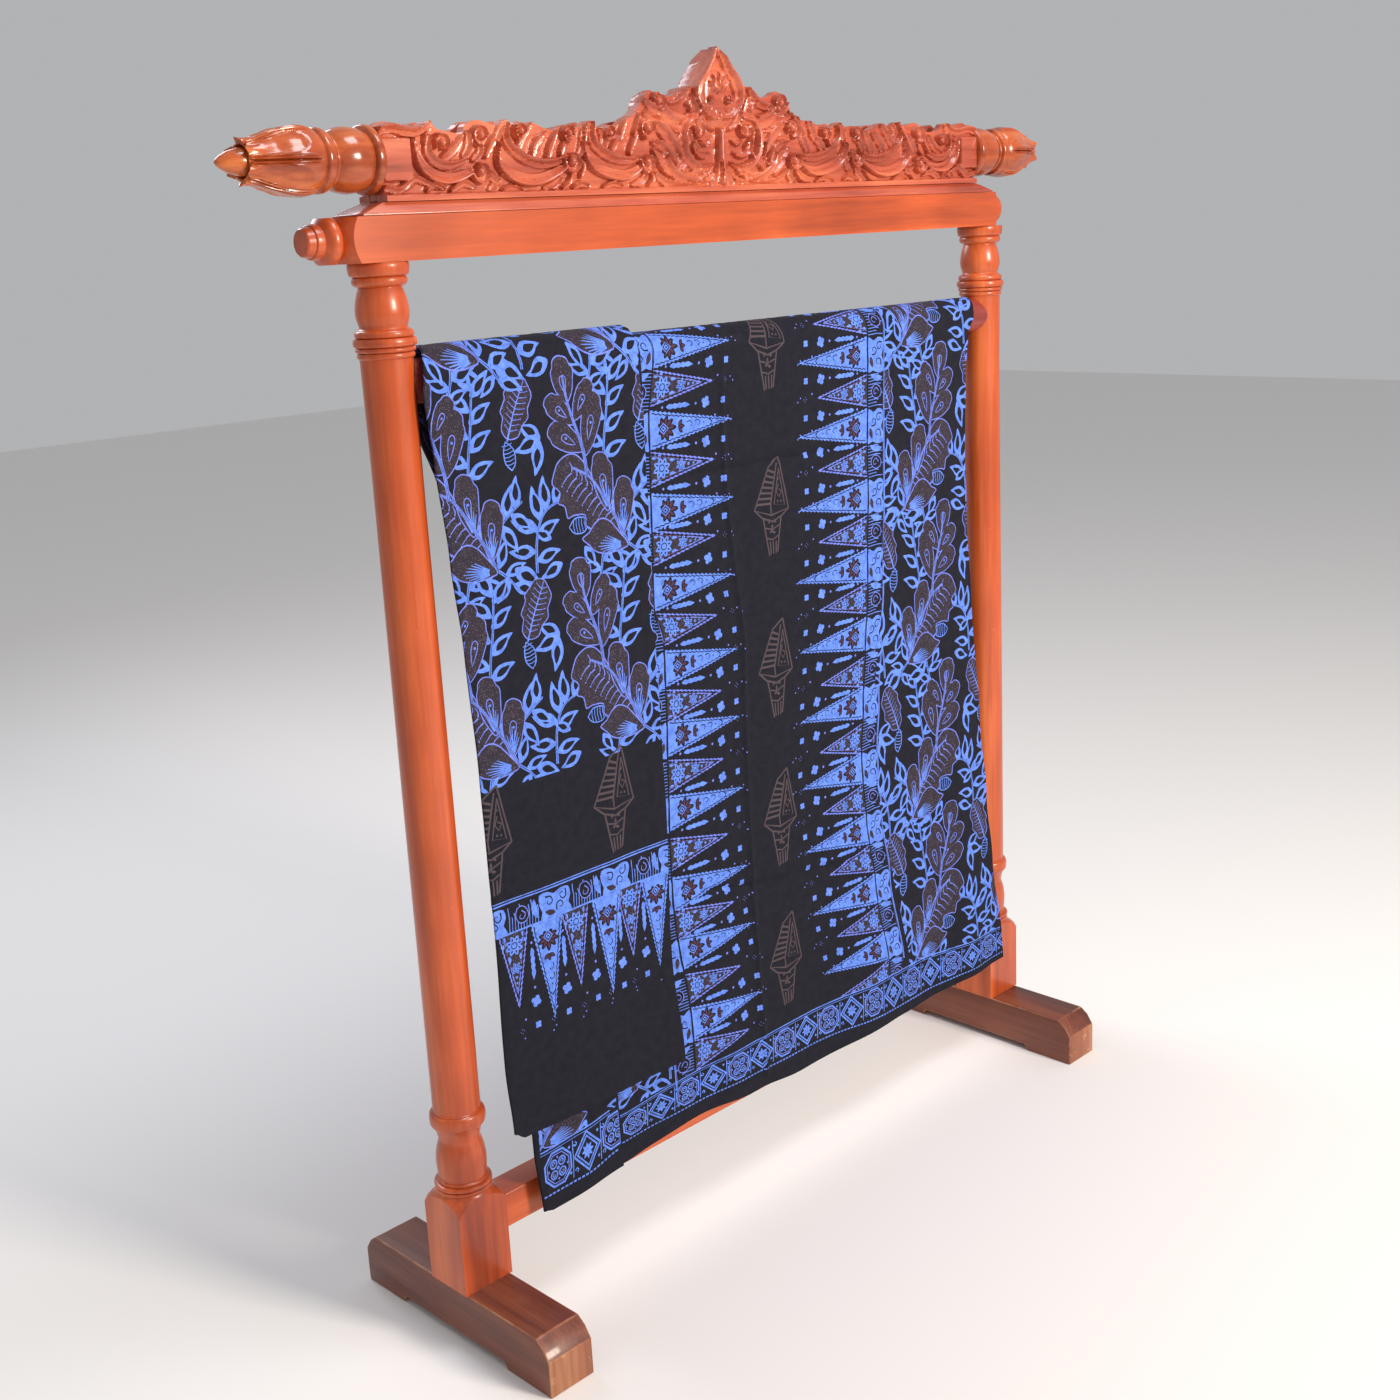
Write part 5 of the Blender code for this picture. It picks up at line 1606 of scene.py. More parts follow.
@dataclass
class TurnedPost:
    """A post turned above a square block whose faces end in arched shoulders."""

    side: str
    x: float
    half_x: float = 0.0399
    half_y: float = 0.0388
    foot_z: float = 0.0787
    shoulder_z: float = 0.2160
    segments: tuple[Spots, ...] = chained(
        (0.0787, 0.0570), ((0.1900, 0.0570),), ((0.2020, 0.0520), (0.2110, 0.0410), (0.2150, 0.0372)),
        ((0.2172, 0.0364),), ((0.2185, 0.0381), (0.2205, 0.0387), (0.2226, 0.0380)), ((0.2236, 0.0352),),
        ((0.2246, 0.0385), (0.2270, 0.0394), (0.2297, 0.0384)), ((0.2306, 0.0342),),
        ((0.2316, 0.0350), (0.2332, 0.0350), (0.2342, 0.0340)), ((0.2350, 0.0324),),
        ((0.2430, 0.0334), (0.2606, 0.0343), (0.2770, 0.0322), (0.2915, 0.0280)),
        ((0.3035, 0.0303), (0.3120, 0.0340)), ((0.3126, 0.0352),),
        ((0.3150, 0.0372), (0.3233, 0.0380), (0.3300, 0.0368), (0.3322, 0.0345)), ((0.3330, 0.0335),),
        ((0.3342, 0.0340), (0.3354, 0.0323)),
        ((0.5400, 0.0323), (0.7600, 0.0322), (0.9700, 0.0316), (1.1832, 0.0310), (1.2693, 0.0317), (1.3284, 0.0322)),
        ((1.3300, 0.0342), (1.3330, 0.0349), (1.3356, 0.0340)), ((1.3362, 0.0322),),
        ((1.3370, 0.0352), (1.3395, 0.0366), (1.3420, 0.0354)), ((1.3426, 0.0336),),
        ((1.3438, 0.0374), (1.3483, 0.0386), (1.3528, 0.0374)), ((1.3536, 0.0334),),
        ((1.3552, 0.0354), (1.3592, 0.0357), (1.3620, 0.0340)), ((1.3640, 0.0300), (1.3664, 0.0289)),
        ((1.3730, 0.0309), (1.3834, 0.0326), (1.3990, 0.0305), (1.4125, 0.0262)), ((1.4140, 0.0300),),
        ((1.4165, 0.0326), (1.4200, 0.0336), (1.4235, 0.0326)), ((1.4246, 0.0310),),
        ((1.4262, 0.0350), (1.4300, 0.0364)), ((1.4340, 0.0370), (1.4380, 0.0370), (1.4409, 0.0360)),
    )

    def build(self, material: bpy.types.Material) -> bpy.types.Object:
        """Turn the post, square its block and dress it.

        Args:
            material: its finish.

        Returns:
            The post.
        """
        post = turn(f"turned_post_{self.side}", "Z", (self.x, 0.0, 0.0), faired(self.segments))
        stock = box_piece("stock", (self.x - self.half_x, -self.half_y, 0.05),
                          (self.x + self.half_x, self.half_y, self.shoulder_z))
        solo(stock)
        bpy.ops.object.mode_set(mode="EDIT")
        bpy.ops.mesh.select_mode(type="FACE")
        bpy.ops.mesh.select_all(action="DESELECT")
        builder = bmesh.from_edit_mesh(stock.data)
        for face in builder.faces:
            face.select = face.normal.z > 0.9
        bmesh.update_edit_mesh(stock.data)
        bpy.ops.mesh.extrude_region_move(TRANSFORM_OT_translate={"value": (0.0, 0.0, 0.0)})
        bpy.ops.transform.resize(value=(1.5, 1.5, 1.0), center_override=(self.x, 0.0, self.shoulder_z))
        bpy.ops.mesh.extrude_region_move(TRANSFORM_OT_translate={"value": (0.0, 0.0, 1.4)})
        bpy.ops.object.mode_set(mode="OBJECT")
        cut_with(post, stock, "INTERSECT")
        return finish_piece(post, material, "lacquered_hardwood", [f"post_{self.side}"], 30.0)


@dataclass
class SquaredPieces:
    """The stand's squared parts: the frame's own solids with worn, rounded edges."""

    parts: tuple[tuple[str, float], ...] = (("foot_left", 0.0018), ("foot_right", 0.0018), ("stretcher", 0.0014),
        ("crest_plate", 0.0007), ("crest_core", 0.0006))

    def build(self, nodes: dict, finishes: dict[str, bpy.types.Material], worn: bpy.types.Material) -> None:
        """Round each part's edges and dress it; the feet's rounded edges are rubbed pale, and their end faces are made
        paler as painted light.

        Args:
            nodes: the frame's nodes.
            finishes: the finish of each part.
            worn: the paler finish of the feet's rubbed edges and of their end faces, where it is painted light.
        """
        for name, width in self.parts:
            source = nodes[name]
            piece = bpy.data.objects.new(f"{name}_worn", source.data.copy())
            bpy.context.scene.collection.objects.link(piece)
            solo(piece)
            bpy.ops.object.mode_set(mode="EDIT")
            bpy.ops.mesh.select_all(action="SELECT")
            bpy.ops.mesh.remove_doubles(threshold=0.00001)
            bpy.ops.mesh.normals_make_consistent(inside=False)
            bpy.ops.mesh.dissolve_limited(angle_limit=math.radians(2.0))
            bpy.ops.object.mode_set(mode="OBJECT")
            soften(piece, width)
            finish_piece(piece, finishes[name], "lacquered_hardwood", [name], 40.0)
            # the feet's end faces take the paler finish as painted light; their small rounded edge faces take it as
            # rubbed wear
            if name.startswith("foot"):
                piece.data.materials.append(worn)
                for face in piece.data.polygons:
                    flat_side = max(abs(v) for v in face.normal) > 0.999
                    if abs(face.normal.y) > 0.9 or (face.area < 0.0009 and not flat_side):
                        face.material_index = 1


@dataclass
class ClothRod:
    """The dark rod between the posts, its ends hollowed to the posts' round sides."""

    radius: float = ROD_RADIUS
    z: float = ROD_Z

    def build(self, material: bpy.types.Material) -> bpy.types.Object:
        """Turn the rod, hollow its ends and dress it."""
        low, high = POST_LEFT_X + 0.014, POST_RIGHT_X - 0.014
        rows = [(low + (high - low) * k / 24, self.radius) for k in range(25)]
        rod = turn("cloth_rod_turned", "X", (0.0, 0.0, self.z), rows)
        for x in (POST_LEFT_X, POST_RIGHT_X):
            cut_with(rod, turn("guide", "Z", (x, 0.0, self.z), [(-0.05, 0.0328), (0.05, 0.0328)]), "DIFFERENCE")
        return finish_piece(rod, material, "dark_rod_wood", ["cloth_rod"], 35.0)


@dataclass
class UpperRail:
    """The square rail under the crest, with arched shoulders and a stepped knob at each end."""

    bottom_z: float = 1.4412
    top_z: float = 1.4940
    half_depth: float = 0.0333
    left: tuple[Spots, ...] = chained(
        (-0.6800, 0.0150), ((-0.6782, 0.0165),), ((-0.6700, 0.0180),),
        ((-0.6688, 0.0200), (-0.6640, 0.0206), (-0.6596, 0.0205)), ((-0.6570, 0.0240),),
        ((-0.6530, 0.0285), (-0.6465, 0.0300), (-0.6405, 0.0270), (-0.6370, 0.0215)), ((-0.6345, 0.0262),),
        ((-0.6300, 0.0330), (-0.6215, 0.0430)), ((0.0000, 0.0430), (0.6190, 0.0430)),
    )
    right: tuple[Spots, ...] = chained(
        (0.6190, 0.0430), ((0.6255, 0.0330), (0.6290, 0.0262)), ((0.6308, 0.0235),),
    ) + chained(
        (0.6305, 0.0235), ((0.6350, 0.0262), (0.6410, 0.0266), (0.6480, 0.0248)),
        ((0.6530, 0.0200), (0.6550, 0.0120)),
    )

    def build(self, material: bpy.types.Material) -> bpy.types.Object:
        """Turn the rail's ends, square its length and dress it."""
        middle = (self.bottom_z + self.top_z) / 2.0
        rail = turn("upper_rail_carved", "X", (0.0, 0.0, middle), faired(self.left + self.right))
        stock = box_piece("stock", (-0.70, -self.half_depth, self.bottom_z), (0.70, self.half_depth, self.top_z))
        cut_with(rail, stock, "INTERSECT")
        return finish_piece(rail, material, "lacquered_hardwood", ["upper_rail"], 28.0)


@dataclass
class Finial:
    """A turned finial whose bud opens in six double-rimmed, hollowed petals round a small cone."""

    name: str
    side: float
    z: float = 1.5575
    base_x: float = 0.5753
    petals: int = 6
    sides: int = 192
    rims: tuple[tuple[float, float, float], ...] = ((-5.4, 0.0, 0.9), (1.5, 2.2, 0.9), (-1.5, 3.9, 0.7),
        (1.2, 5.6, 0.9))
    segments: tuple[Spots, ...] = chained(
        (0.0, 0.0340), ((0.0010, 0.0368),),
        ((0.0040, 0.0398), (0.0080, 0.0402), (0.0120, 0.0392), (0.0146, 0.0340)),
        ((0.0200, 0.0358), (0.0300, 0.0375), (0.0400, 0.0376), (0.0530, 0.0346), (0.0604, 0.0300)),
        ((0.0612, 0.0318), (0.0632, 0.0326), (0.0650, 0.0318)), ((0.0656, 0.0304),),
        ((0.0672, 0.0348), (0.0700, 0.0364), (0.0740, 0.0372), (0.0775, 0.0366), (0.0800, 0.0340)),
        ((0.0850, 0.0370), (0.0900, 0.0385), (0.0960, 0.0396), (0.1020, 0.0401), (0.1080, 0.0401), (0.1160, 0.0393),
         (0.1240, 0.0378), (0.1330, 0.0350), (0.1420, 0.0320), (0.1510, 0.0286), (0.1600, 0.0256), (0.1720, 0.0232)),
    )

    def carve(self, x: float, y: float, z: float) -> tuple[float, float, float]:
        """Move a point of the turned bud to where the carver's gouge leaves it.

        Args:
            x: distance from the finial's foot.
            y: place across.
            z: place up.

        Returns:
            The carved point.
        """
        radius, angle = math.hypot(y, z), math.atan2(z, y)
        turns = self.petals * angle / math.tau
        petal = math.floor(turns)
        across = math.sin((turns - petal - 0.5) * math.pi)
        angle = (petal + 0.5 + across / 2.0) * math.tau / self.petals
        half_petal = math.pi * radius / self.petals * MM
        gap, off = (1.0 - abs(across)) * half_petal, abs(across) * half_petal
        # double rim beside each gap: (height, distance from the gap, half-width) in mm
        lift = sum(height * math.exp(-(((gap - place) / spread) ** 2)) for height, place, spread in self.rims)
        lift *= clamped((x - 0.086) / 0.012)
        # hollow down the petal's middle, with an incised line round it
        spoon = clamped((x - 0.100) / 0.010) * clamped((0.158 - x) / 0.020)
        half = 3.5 + 7.5 * math.sin(math.pi * clamped((x - 0.096) / 0.066) ** 0.8)
        hollow = max(0.0, 1.0 - (off / half) ** 4)
        lift -= clamped((x - 0.086) / 0.012) * spoon * (3.2 * hollow + 1.4 * math.exp(-(((off - half) / 1.3) ** 2)))
        # pointed tip that stands off the bud
        tip = max(0.0, (x - 0.150) / 0.022)
        flare = 4.6 * tip * tip * math.exp(-((across / 0.45) ** 2)) - 1.2 * tip
        far = radius + (lift + flare) / MM
        lean = tip * (0.0095 * (1.0 - abs(across)) - 0.0050)
        return (x + lean, far * math.cos(angle), far * math.sin(angle))

    def build(self, material: bpy.types.Material) -> bpy.types.Object:
        """Turn the finial, carve its petals and dress it."""
        cone = [(0.1712, 0.0190), (0.1600, 0.0172), (0.1630, 0.0152), (0.1700, 0.0156), (0.1760, 0.0150),
                (0.1880, 0.0118), (0.1970, 0.0070), (0.2010, 0.0040), (0.2032, 0.0012)]
        finial = turn(self.name, "X", (0.0, 0.0, 0.0), faired(self.segments, 4) + cone, self.sides)
        mesh = finial.data
        for vertex in mesh.vertices:
            x, y, z = vertex.co
            if x > 0.0802 and math.hypot(y, z) > 0.0192:
                vertex.co = self.carve(x, y, z)
        mesh.transform(Matrix.Translation((self.side * self.base_x, 0.0, self.z)) @ Matrix.Diagonal((self.side, 1.0,
            1.0, 1.0)))
        return finish_piece(finial, material, "lacquered_hardwood",
                            ["finial_left" if self.side < 0 else "finial_right"], 50.0)


@dataclass(frozen=True)
class Carving:
    """One carved form of the crest: a run of points (mm) from a pointed tail to a head.

    A rim of 1 puts its high edge on the run's left, -1 on its right, and 0 makes it round.
    """

    points: tuple[tuple[float, float], ...]
    tail: float
    belly: float
    head: float
    height: float = 10.5
    rim: float = 0.0


# a gouged leaf's profile: places across from its low edge (-1) to its rim (1), and shares of its height
GOUGED = ((-1.0, -0.92, -0.8, -0.6, -0.4, -0.15, 0.1, 0.35, 0.55, 0.72, 0.85, 0.94, 1.0),
          (0.12, 0.44, 0.52, 0.47, 0.42, 0.44, 0.55, 0.76, 0.93, 1.0, 0.94, 0.72, 0.2))
VEINED_FROM = 6.4  # half-width in mm from which a leaf has a vein


@dataclass
class CrestBoard:
    """A carved board of the crest: scrolls, leaves and beads raised from a ground, its top cut to their outline.

    Heights and places are in mm, and the y values in metres. Plinth, block_x and block_z bound the plain parts
    at the foot and the ends, which stand flush above the ground.
    """

    name: str
    front: bool
    bottom: float = 1509.6
    half: float = 575.0
    ground_y: float = 0.0195
    face_y: float = 0.0310
    inner_y: float = 0.0075
    step: float = 1.45
    rows: int = 74
    plinth: float = 7.0
    block_x: float = 533.0
    block_z: tuple[float, float] = (1531.0, 1582.0)
    flush: float = 9.0

    def outline(self) -> tuple[np.ndarray, np.ndarray]:
        """Top edge of the board: x and height in mm."""
        left = ((-575, 1594), (-560, 1599), (-548, 1597), (-530, 1595), (-512, 1596), (-500, 1601), (-490, 1592),
                (-470, 1588), (-452, 1586), (-447, 1596), (-428, 1602), (-405, 1597), (-397, 1596), (-383, 1603),
                (-372, 1596), (-364, 1601), (-352, 1597), (-343, 1600), (-320, 1592), (-303, 1591), (-290, 1597),
                (-280, 1594), (-262, 1594), (-248, 1602), (-232, 1594), (-222, 1592), (-214, 1597), (-200, 1595),
                (-183, 1606), (-172, 1606), (-164, 1613), (-150, 1628), (-138, 1641), (-128, 1638), (-112, 1633),
                (-98, 1634), (-84, 1638), (-63, 1648), (-56, 1645), (-50, 1652), (-40, 1664), (-27, 1678),
                (-14, 1692), (-8, 1699.6))
        right = ((0, 1691), (12, 1679), (25, 1665), (34, 1654), (38, 1648), (46, 1649), (58, 1644), (70, 1638),
                 (84, 1634), (98, 1637), (110, 1643), (120, 1640), (133, 1626), (147, 1611), (158, 1606), (168, 1604),
                 (185, 1602), (200, 1597), (215, 1593), (232, 1595), (246, 1602), (262, 1595), (276, 1597),
                 (292, 1591), (318, 1592), (343, 1601), (352, 1598), (372, 1597), (383, 1603), (397, 1596),
                 (428, 1602), (450, 1590), (470, 1588), (490, 1592), (500, 1601), (518, 1596), (545, 1602),
                 (560, 1598), (575, 1594))
        run = np.array(smooth(left, False, 3)[:-1] + smooth((left[-1],) + right, False, 3))
        return run[:, 0], np.minimum(run[:, 1], 1699.6)

    def scroll(self, x: float, z: float, start: float, sweep: float = 285.0, radius: float = 10.2) -> list[Carving]:
        """A band that coils round a bead.

        Args:
            x: the bead's place along the board.
            z: its height.
            start: where the band begins, in degrees.
            sweep: how far it runs round, negative for clockwise.
            radius: the coil's outer radius.

        Returns:
            The band and the bead.
        """
        path = []
        for k in range(9):
            angle = math.radians(start + sweep * k / 8.0)
            reach = radius * (1.0 - 0.26 * k / 8.0) - 2.6
            path.append((x + reach * math.cos(angle), z + reach * math.sin(angle)))
        return [Carving(tuple(path), radius * 0.30, radius * 0.30, 1.2, 10.8, math.copysign(1.0, -sweep)),
                Carving(((x, z), (x + 0.4, z)), radius * 0.43, radius * 0.43, radius * 0.43, 11.5)]

    def wing(self) -> list[Carving]:
        """Carved forms of the left half, from those at the back to those in front."""
        made: list[Carving] = []
        # pointed lobes and sprouts behind the long leaves: foot, bend, tip, half-width
        for foot, bend, tip, belly, rim in (
            ((-508, 1572), (-506, 1586), (-498, 1602), 6.0, 1), ((-487, 1556), (-470, 1566), (-452, 1584), 6.5, 1),
            ((-455, 1560), (-446, 1574), (-447, 1590), 5.0, -1), ((-420, 1560), (-410, 1574), (-396, 1590), 6.0, 1),
            ((-402, 1580), (-396, 1590), (-383, 1603), 5.5, -1), ((-370, 1566), (-362, 1578), (-343, 1600), 6.5, 1),
            ((-346, 1560), (-338, 1574), (-322, 1588), 6.5, 1), ((-322, 1556), (-314, 1572), (-303, 1590), 6.0, 1),
            ((-300, 1560), (-294, 1572), (-282, 1578), 5.0, 1), ((-268, 1562), (-262, 1576), (-262, 1592), 5.5, -1),
            ((-258, 1578), (-254, 1590), (-248, 1602), 5.0, 1), ((-230, 1568), (-226, 1580), (-232, 1592), 5.5, -1),
            ((-214, 1560), (-204, 1574), (-186, 1586), 6.0, 1), ((-196, 1580), (-190, 1592), (-183, 1605), 5.5, 1),
            ((-180, 1562), (-172, 1576), (-162, 1590), 5.5, 1), ((-170, 1586), (-162, 1598), (-158, 1612), 5.5, 1),
            ((-560, 1521), (-540, 1527), (-522, 1538), 5.0, -1), ((-512, 1522), (-500, 1527), (-486, 1521), 4.5, 1),
            ((-476, 1520), (-458, 1528), (-440, 1522), 5.0, 1), ((-418, 1520), (-408, 1530), (-416, 1542), 4.5, -1),
            ((-398, 1519), (-384, 1522), (-366, 1518), 4.0, 1), ((-330, 1519), (-314, 1524), (-302, 1533), 5.0, -1),
            ((-300, 1519), (-288, 1527), (-284, 1538), 4.5, 1), ((-282, 1519), (-268, 1524), (-256, 1519), 4.5, 1),
            ((-268, 1534), (-262, 1546), (-270, 1556), 4.5, 1), ((-230, 1519), (-214, 1523), (-196, 1519), 4.0, 1),
            ((-178, 1520), (-162, 1526), (-152, 1536), 5.0, -1), ((-150, 1518), (-140, 1528), (-146, 1538), 4.5, 1),
            ((-415, 1534), (-405, 1528), (-398, 1536), 4.0, 1), ((-440, 1556), (-430, 1564), (-430, 1576), 5.0, -1),
        ):
            made.append(Carving((foot, bend, tip), belly * 0.8, belly, 0.8, 8.2, rim))
        # the long leaves: two nested crescents to each coil
        for points, belly, rim in (
            (((-504, 1586), (-509, 1566), (-496, 1552), (-475, 1549), (-452, 1555)), 6.2, 1),
            (((-527, 1590), (-525, 1565), (-515, 1547), (-495, 1536), (-470, 1535), (-446, 1542)), 8.2, -1),
            (((-383, 1602), (-389, 1579), (-367, 1559), (-337, 1550), (-312, 1551), (-292, 1557)), 6.8, 1),
            (((-396, 1577), (-401, 1553), (-382, 1537), (-353, 1530), (-325, 1534), (-298, 1545)), 8.4, -1),
            (((-245, 1602), (-247, 1578), (-222, 1559), (-190, 1552), (-162, 1555)), 6.8, 1),
            (((-264, 1576), (-252, 1551), (-225, 1538), (-192, 1533), (-166, 1543)), 8.2, -1),
        ):
            made.append(Carving(points, 0.8, belly, belly * 0.45, 10.6, rim))
        # wave along the end
        made += [Carving(((-590, 1584), (-560, 1592), (-536, 1588), (-515, 1590), (-500, 1601)), 5.0, 6.5, 0.8, 10.0,
                         1),
                 Carving(((-590, 1521), (-572, 1524), (-552, 1522), (-532, 1534), (-516, 1530), (-494, 1521)), 3.0,
                         5.0, 0.8, 9.5, 1)]
        for x, z, start, sweep, radius in (
            (-487, 1575, 200, -290, 12.0), (-432, 1541, 200, 290, 14.0), (-428, 1584, 250, -290, 13.0),
            (-365, 1589, 240, -280, 11.0), (-283, 1552, 180, 300, 14.5), (-286, 1586, 250, -280, 11.5),
            (-216, 1586, 240, -280, 11.0), (-148, 1593, 250, -300, 14.5), (-151, 1549, 180, 300, 13.5),
        ):
            made += self.scroll(x, z, start, sweep, radius)
        # leaves that climb to the middle
        for foot, bend, tip, belly, rim in (
            ((-86, 1580), (-112, 1584), (-132, 1604), 9.0, 1), ((-84, 1592), (-104, 1596), (-118, 1612), 8.0, 1),
            ((-100, 1600), (-130, 1606), (-152, 1612), 7.5, -1), ((-118, 1612), (-136, 1618), (-150, 1630), 6.5, -1),
            ((-96, 1548), (-122, 1552), (-140, 1566), 7.5, 1), ((-90, 1536), (-112, 1538), (-132, 1552), 7.5, 1),
            ((-60, 1612), (-66, 1626), (-82, 1636), 7.5, 1), ((-50, 1606), (-56, 1620), (-62, 1636), 6.5, -1),
            ((-70, 1556), (-84, 1546), (-98, 1532), 7.0, 1), ((-40, 1536), (-60, 1530), (-80, 1534), 6.5, 1),
            ((-26, 1530), (-38, 1524), (-52, 1520), 5.0, 1), ((-72, 1590), (-66, 1574), (-52, 1566), 5.5, 1),
        ):
            made.append(Carving((foot, bend, tip), belly * 0.8, belly, 0.8, 8.4, rim))
        made += [
            Carving(((-56, 1606), (-80, 1600), (-104, 1606), (-122, 1620)), 8.0, 11.0, 6.0, 10.4, -1),
            *self.scroll(-126, 1627, 300, 290, 13.0),
            Carving(((-104, 1622), (-90, 1624), (-76, 1632), (-63, 1648)), 5.0, 6.5, 0.8, 10.0, 1),
            Carving(((-136, 1600), (-118, 1590), (-104, 1576), (-92, 1558)), 1.0, 9.5, 2.0, 10.0, 1),
            Carving(((-140, 1574), (-122, 1570), (-108, 1558), (-100, 1544)), 1.0, 7.5, 2.0, 9.6, 1),
            Carving(((-26, 1520), (-60, 1521), (-92, 1530), (-112, 1546), (-116, 1562)), 1.5, 7.5, 0.8, 9.6, -1),
            Carving(((-60, 1519), (-96, 1519), (-122, 1524), (-136, 1536)), 1.5, 6.0, 0.8, 9.2, -1),
            Carving(((-24, 1546), (-46, 1540), (-68, 1546), (-82, 1564), (-83, 1588), (-70, 1606), (-52, 1608)), 1.2,
                    7.4, 4.5, 11.2, -1),
            *self.scroll(-54, 1592, 80, -290, 13.5),
            Carving(((-30, 1560), (-44, 1556), (-60, 1562), (-66, 1578)), 1.0, 4.5, 0.8, 8.6, 1),
            Carving(((-28, 1576), (-38, 1572), (-48, 1576)), 1.0, 3.6, 0.8, 8.0, 1),
            Carving(((-22, 1590), (-36, 1598), (-44, 1612), (-40, 1622)), 1.0, 5.0, 0.8, 8.6, 1),
        ]
        return made

    def middle(self) -> list[Carving]:
        """Carved forms of the stem and the heart at the crest's middle."""
        made = [
            Carving(((-9, 1512), (-9, 1536), (-9, 1570), (-9, 1612)), 5.0, 8.0, 1.0, 11.2),
            Carving(((-26, 1516), (-18, 1530), (-14, 1548)), 6.0, 6.0, 0.8, 9.0, 1),
            Carving(((8, 1516), (0, 1530), (-4, 1548)), 6.0, 6.0, 0.8, 9.0, -1),
            Carving(((-9, 1612), (-9, 1640), (-8, 1662)), 20.0, 27.0, 4.0, 5.0),
            Carving(((-10, 1608), (-31, 1613), (-48, 1633), (-44, 1652), (-27, 1671), (-8, 1701)), 3.5, 8.4, 3.0,
                    11.4, 1),
            Carving(((-9, 1608), (12, 1612), (29, 1631), (26, 1651), (11, 1670), (-8, 1701)), 3.5, 8.4, 3.0, 11.4,
                    -1),
            *self.scroll(-25, 1631, 330, -280, 7.6), *self.scroll(6, 1631, 210, 280, 7.6),
        ]
        for angle in (-58, -30, 0, 30, 58):
            lean = math.radians(90 + angle)
            made.append(Carving(((-9, 1640), (-9 + 12 * math.cos(lean), 1640 + 12 * math.sin(lean)),
                                 (-9 + 22 * math.cos(lean), 1640 + 25 * math.sin(lean))), 1.5, 3.4, 0.8, 10.0, 0))
        return made

    def carvings(self) -> list[Carving]:
        """Every carved form of the board, from those at the back to those in front."""
        left = self.wing()
        right = [Carving(tuple((-x - 16.0 * max(0.0, 1.0 + x / 430.0), z) for x, z in form.points), form.tail,
                         form.belly, form.head, form.height, -form.rim) for form in left]
        return left + right + self.middle()

    def relief(self, x: np.ndarray, z: np.ndarray) -> np.ndarray:
        """Height of the carving over its ground at each place, all in mm.

        Args:
            x: places along the board.
            z: heights.

        Returns:
            The relief.
        """
        raised = np.full(x.shape, 0.2)
        for form in self.carvings():
            line = smooth(form.points, False, 5) if len(form.points) > 2 else list(form.points)
            reach = max(form.tail, form.belly, form.head) * 1.05
            (low_x, high_x), (low_z, high_z) = ((min(run) - reach, max(run) + reach) for run in zip(*line))
            near = np.nonzero((x > low_x) & (x < high_x) & (z > low_z) & (z < high_z))
            if not len(near[0]):
                continue
            best, side = self.nearness(form, line, x[near], z[near])
            if form.rim:
                lift = form.height * np.interp(side * form.rim, *GOUGED)
                if form.belly > VEINED_FROM:
                    lift -= 1.9 * np.exp(-(((side * form.rim + 0.02) / 0.12) ** 2))
            else:
                lift = form.height * np.sqrt(np.clip(1.0 - best ** 2.4, 0.0, 1.0))
            raised[near] = np.where(best < 1.0, np.maximum(lift, 0.30 * raised[near]), raised[near])
        plain = np.clip((z - self.bottom - self.plinth) / 1.5, 0.0, 1.0)
        along, below, above = np.abs(x) - self.block_x, self.block_z[1] - z, z - self.block_z[0]
        flush = np.clip(along / 2.0, 0.0, 1.0) * np.clip(below / 2.0, 0.0, 1.0) * np.clip(above / 2.0, 0.0, 1.0)
        return np.maximum(np.maximum(raised * plain, self.flush * (1.0 - plain)), self.flush * flush)

    @staticmethod
    def nearness(form: Carving, line: Loop, x: np.ndarray, z: np.ndarray) -> tuple[np.ndarray, np.ndarray]:
        """How far places lie from a carved form's line, in shares of its half-width there.

        Args:
            form: the form.
            line: its smooth line.
            x: places along the board.
            z: heights.

        Returns:
            The distance, and the same with a minus sign to the right of the line.
        """
        best = np.full(x.shape, 99.0)
        side = np.zeros(x.shape)
        count = len(line) - 1
        for i, ((ax, az), (bx, bz)) in enumerate(zip(line, line[1:])):
            dx, dz = bx - ax, bz - az
            t = np.clip(((x - ax) * dx + (z - az) * dz) / (dx * dx + dz * dz), 0.0, 1.0)
            ox, oz = x - ax - t * dx, z - az - t * dz
            place = (i + t) / count
            ends = np.where(place < 0.5, form.tail, form.head)
            swell = ends + (form.belly - ends) * np.sin(place * math.pi) ** 0.8
            share = np.hypot(ox, oz) / swell
            side = np.where(share < best, np.sign(dx * oz - dz * ox) * share, side)
            best = np.minimum(best, share)
        return best, side

    def build(self, material: bpy.types.Material) -> bpy.types.Object:
        """Carve the board on a fine grid and dress it.

        Args:
            material: its finish.

        Returns:
            The board.
        """
        columns = int(2 * self.half / self.step)
        xs = np.linspace(-self.half, self.half, columns + 1)
        tops = np.interp(xs, *self.outline())
        share = np.linspace(0.0, 1.0, self.rows + 1)
        grid_x = np.repeat(xs[:, None], self.rows + 1, axis=1)
        grid_z = self.bottom + (tops[:, None] - self.bottom) * share[None, :]
        grid_y = -(self.ground_y + self.relief(grid_x, grid_z) / MM)
        grid_y = np.maximum(grid_y, -self.face_y)
        face = np.stack([grid_x / MM, grid_y, grid_z / MM], axis=2).reshape(-1, 3)
        back = face.copy()
        back[:, 1] = -self.inner_y
        builder = bmesh.new()
        front_verts = [builder.verts.new(p) for p in face]
        rim = {}

        def at(c: int, r: int) -> int:
            return c * (self.rows + 1) + r

        def rear(c: int, r: int) -> bmesh.types.BMVert:
            key = at(c, r)
            if key not in rim:
                rim[key] = builder.verts.new(back[key])
            return rim[key]

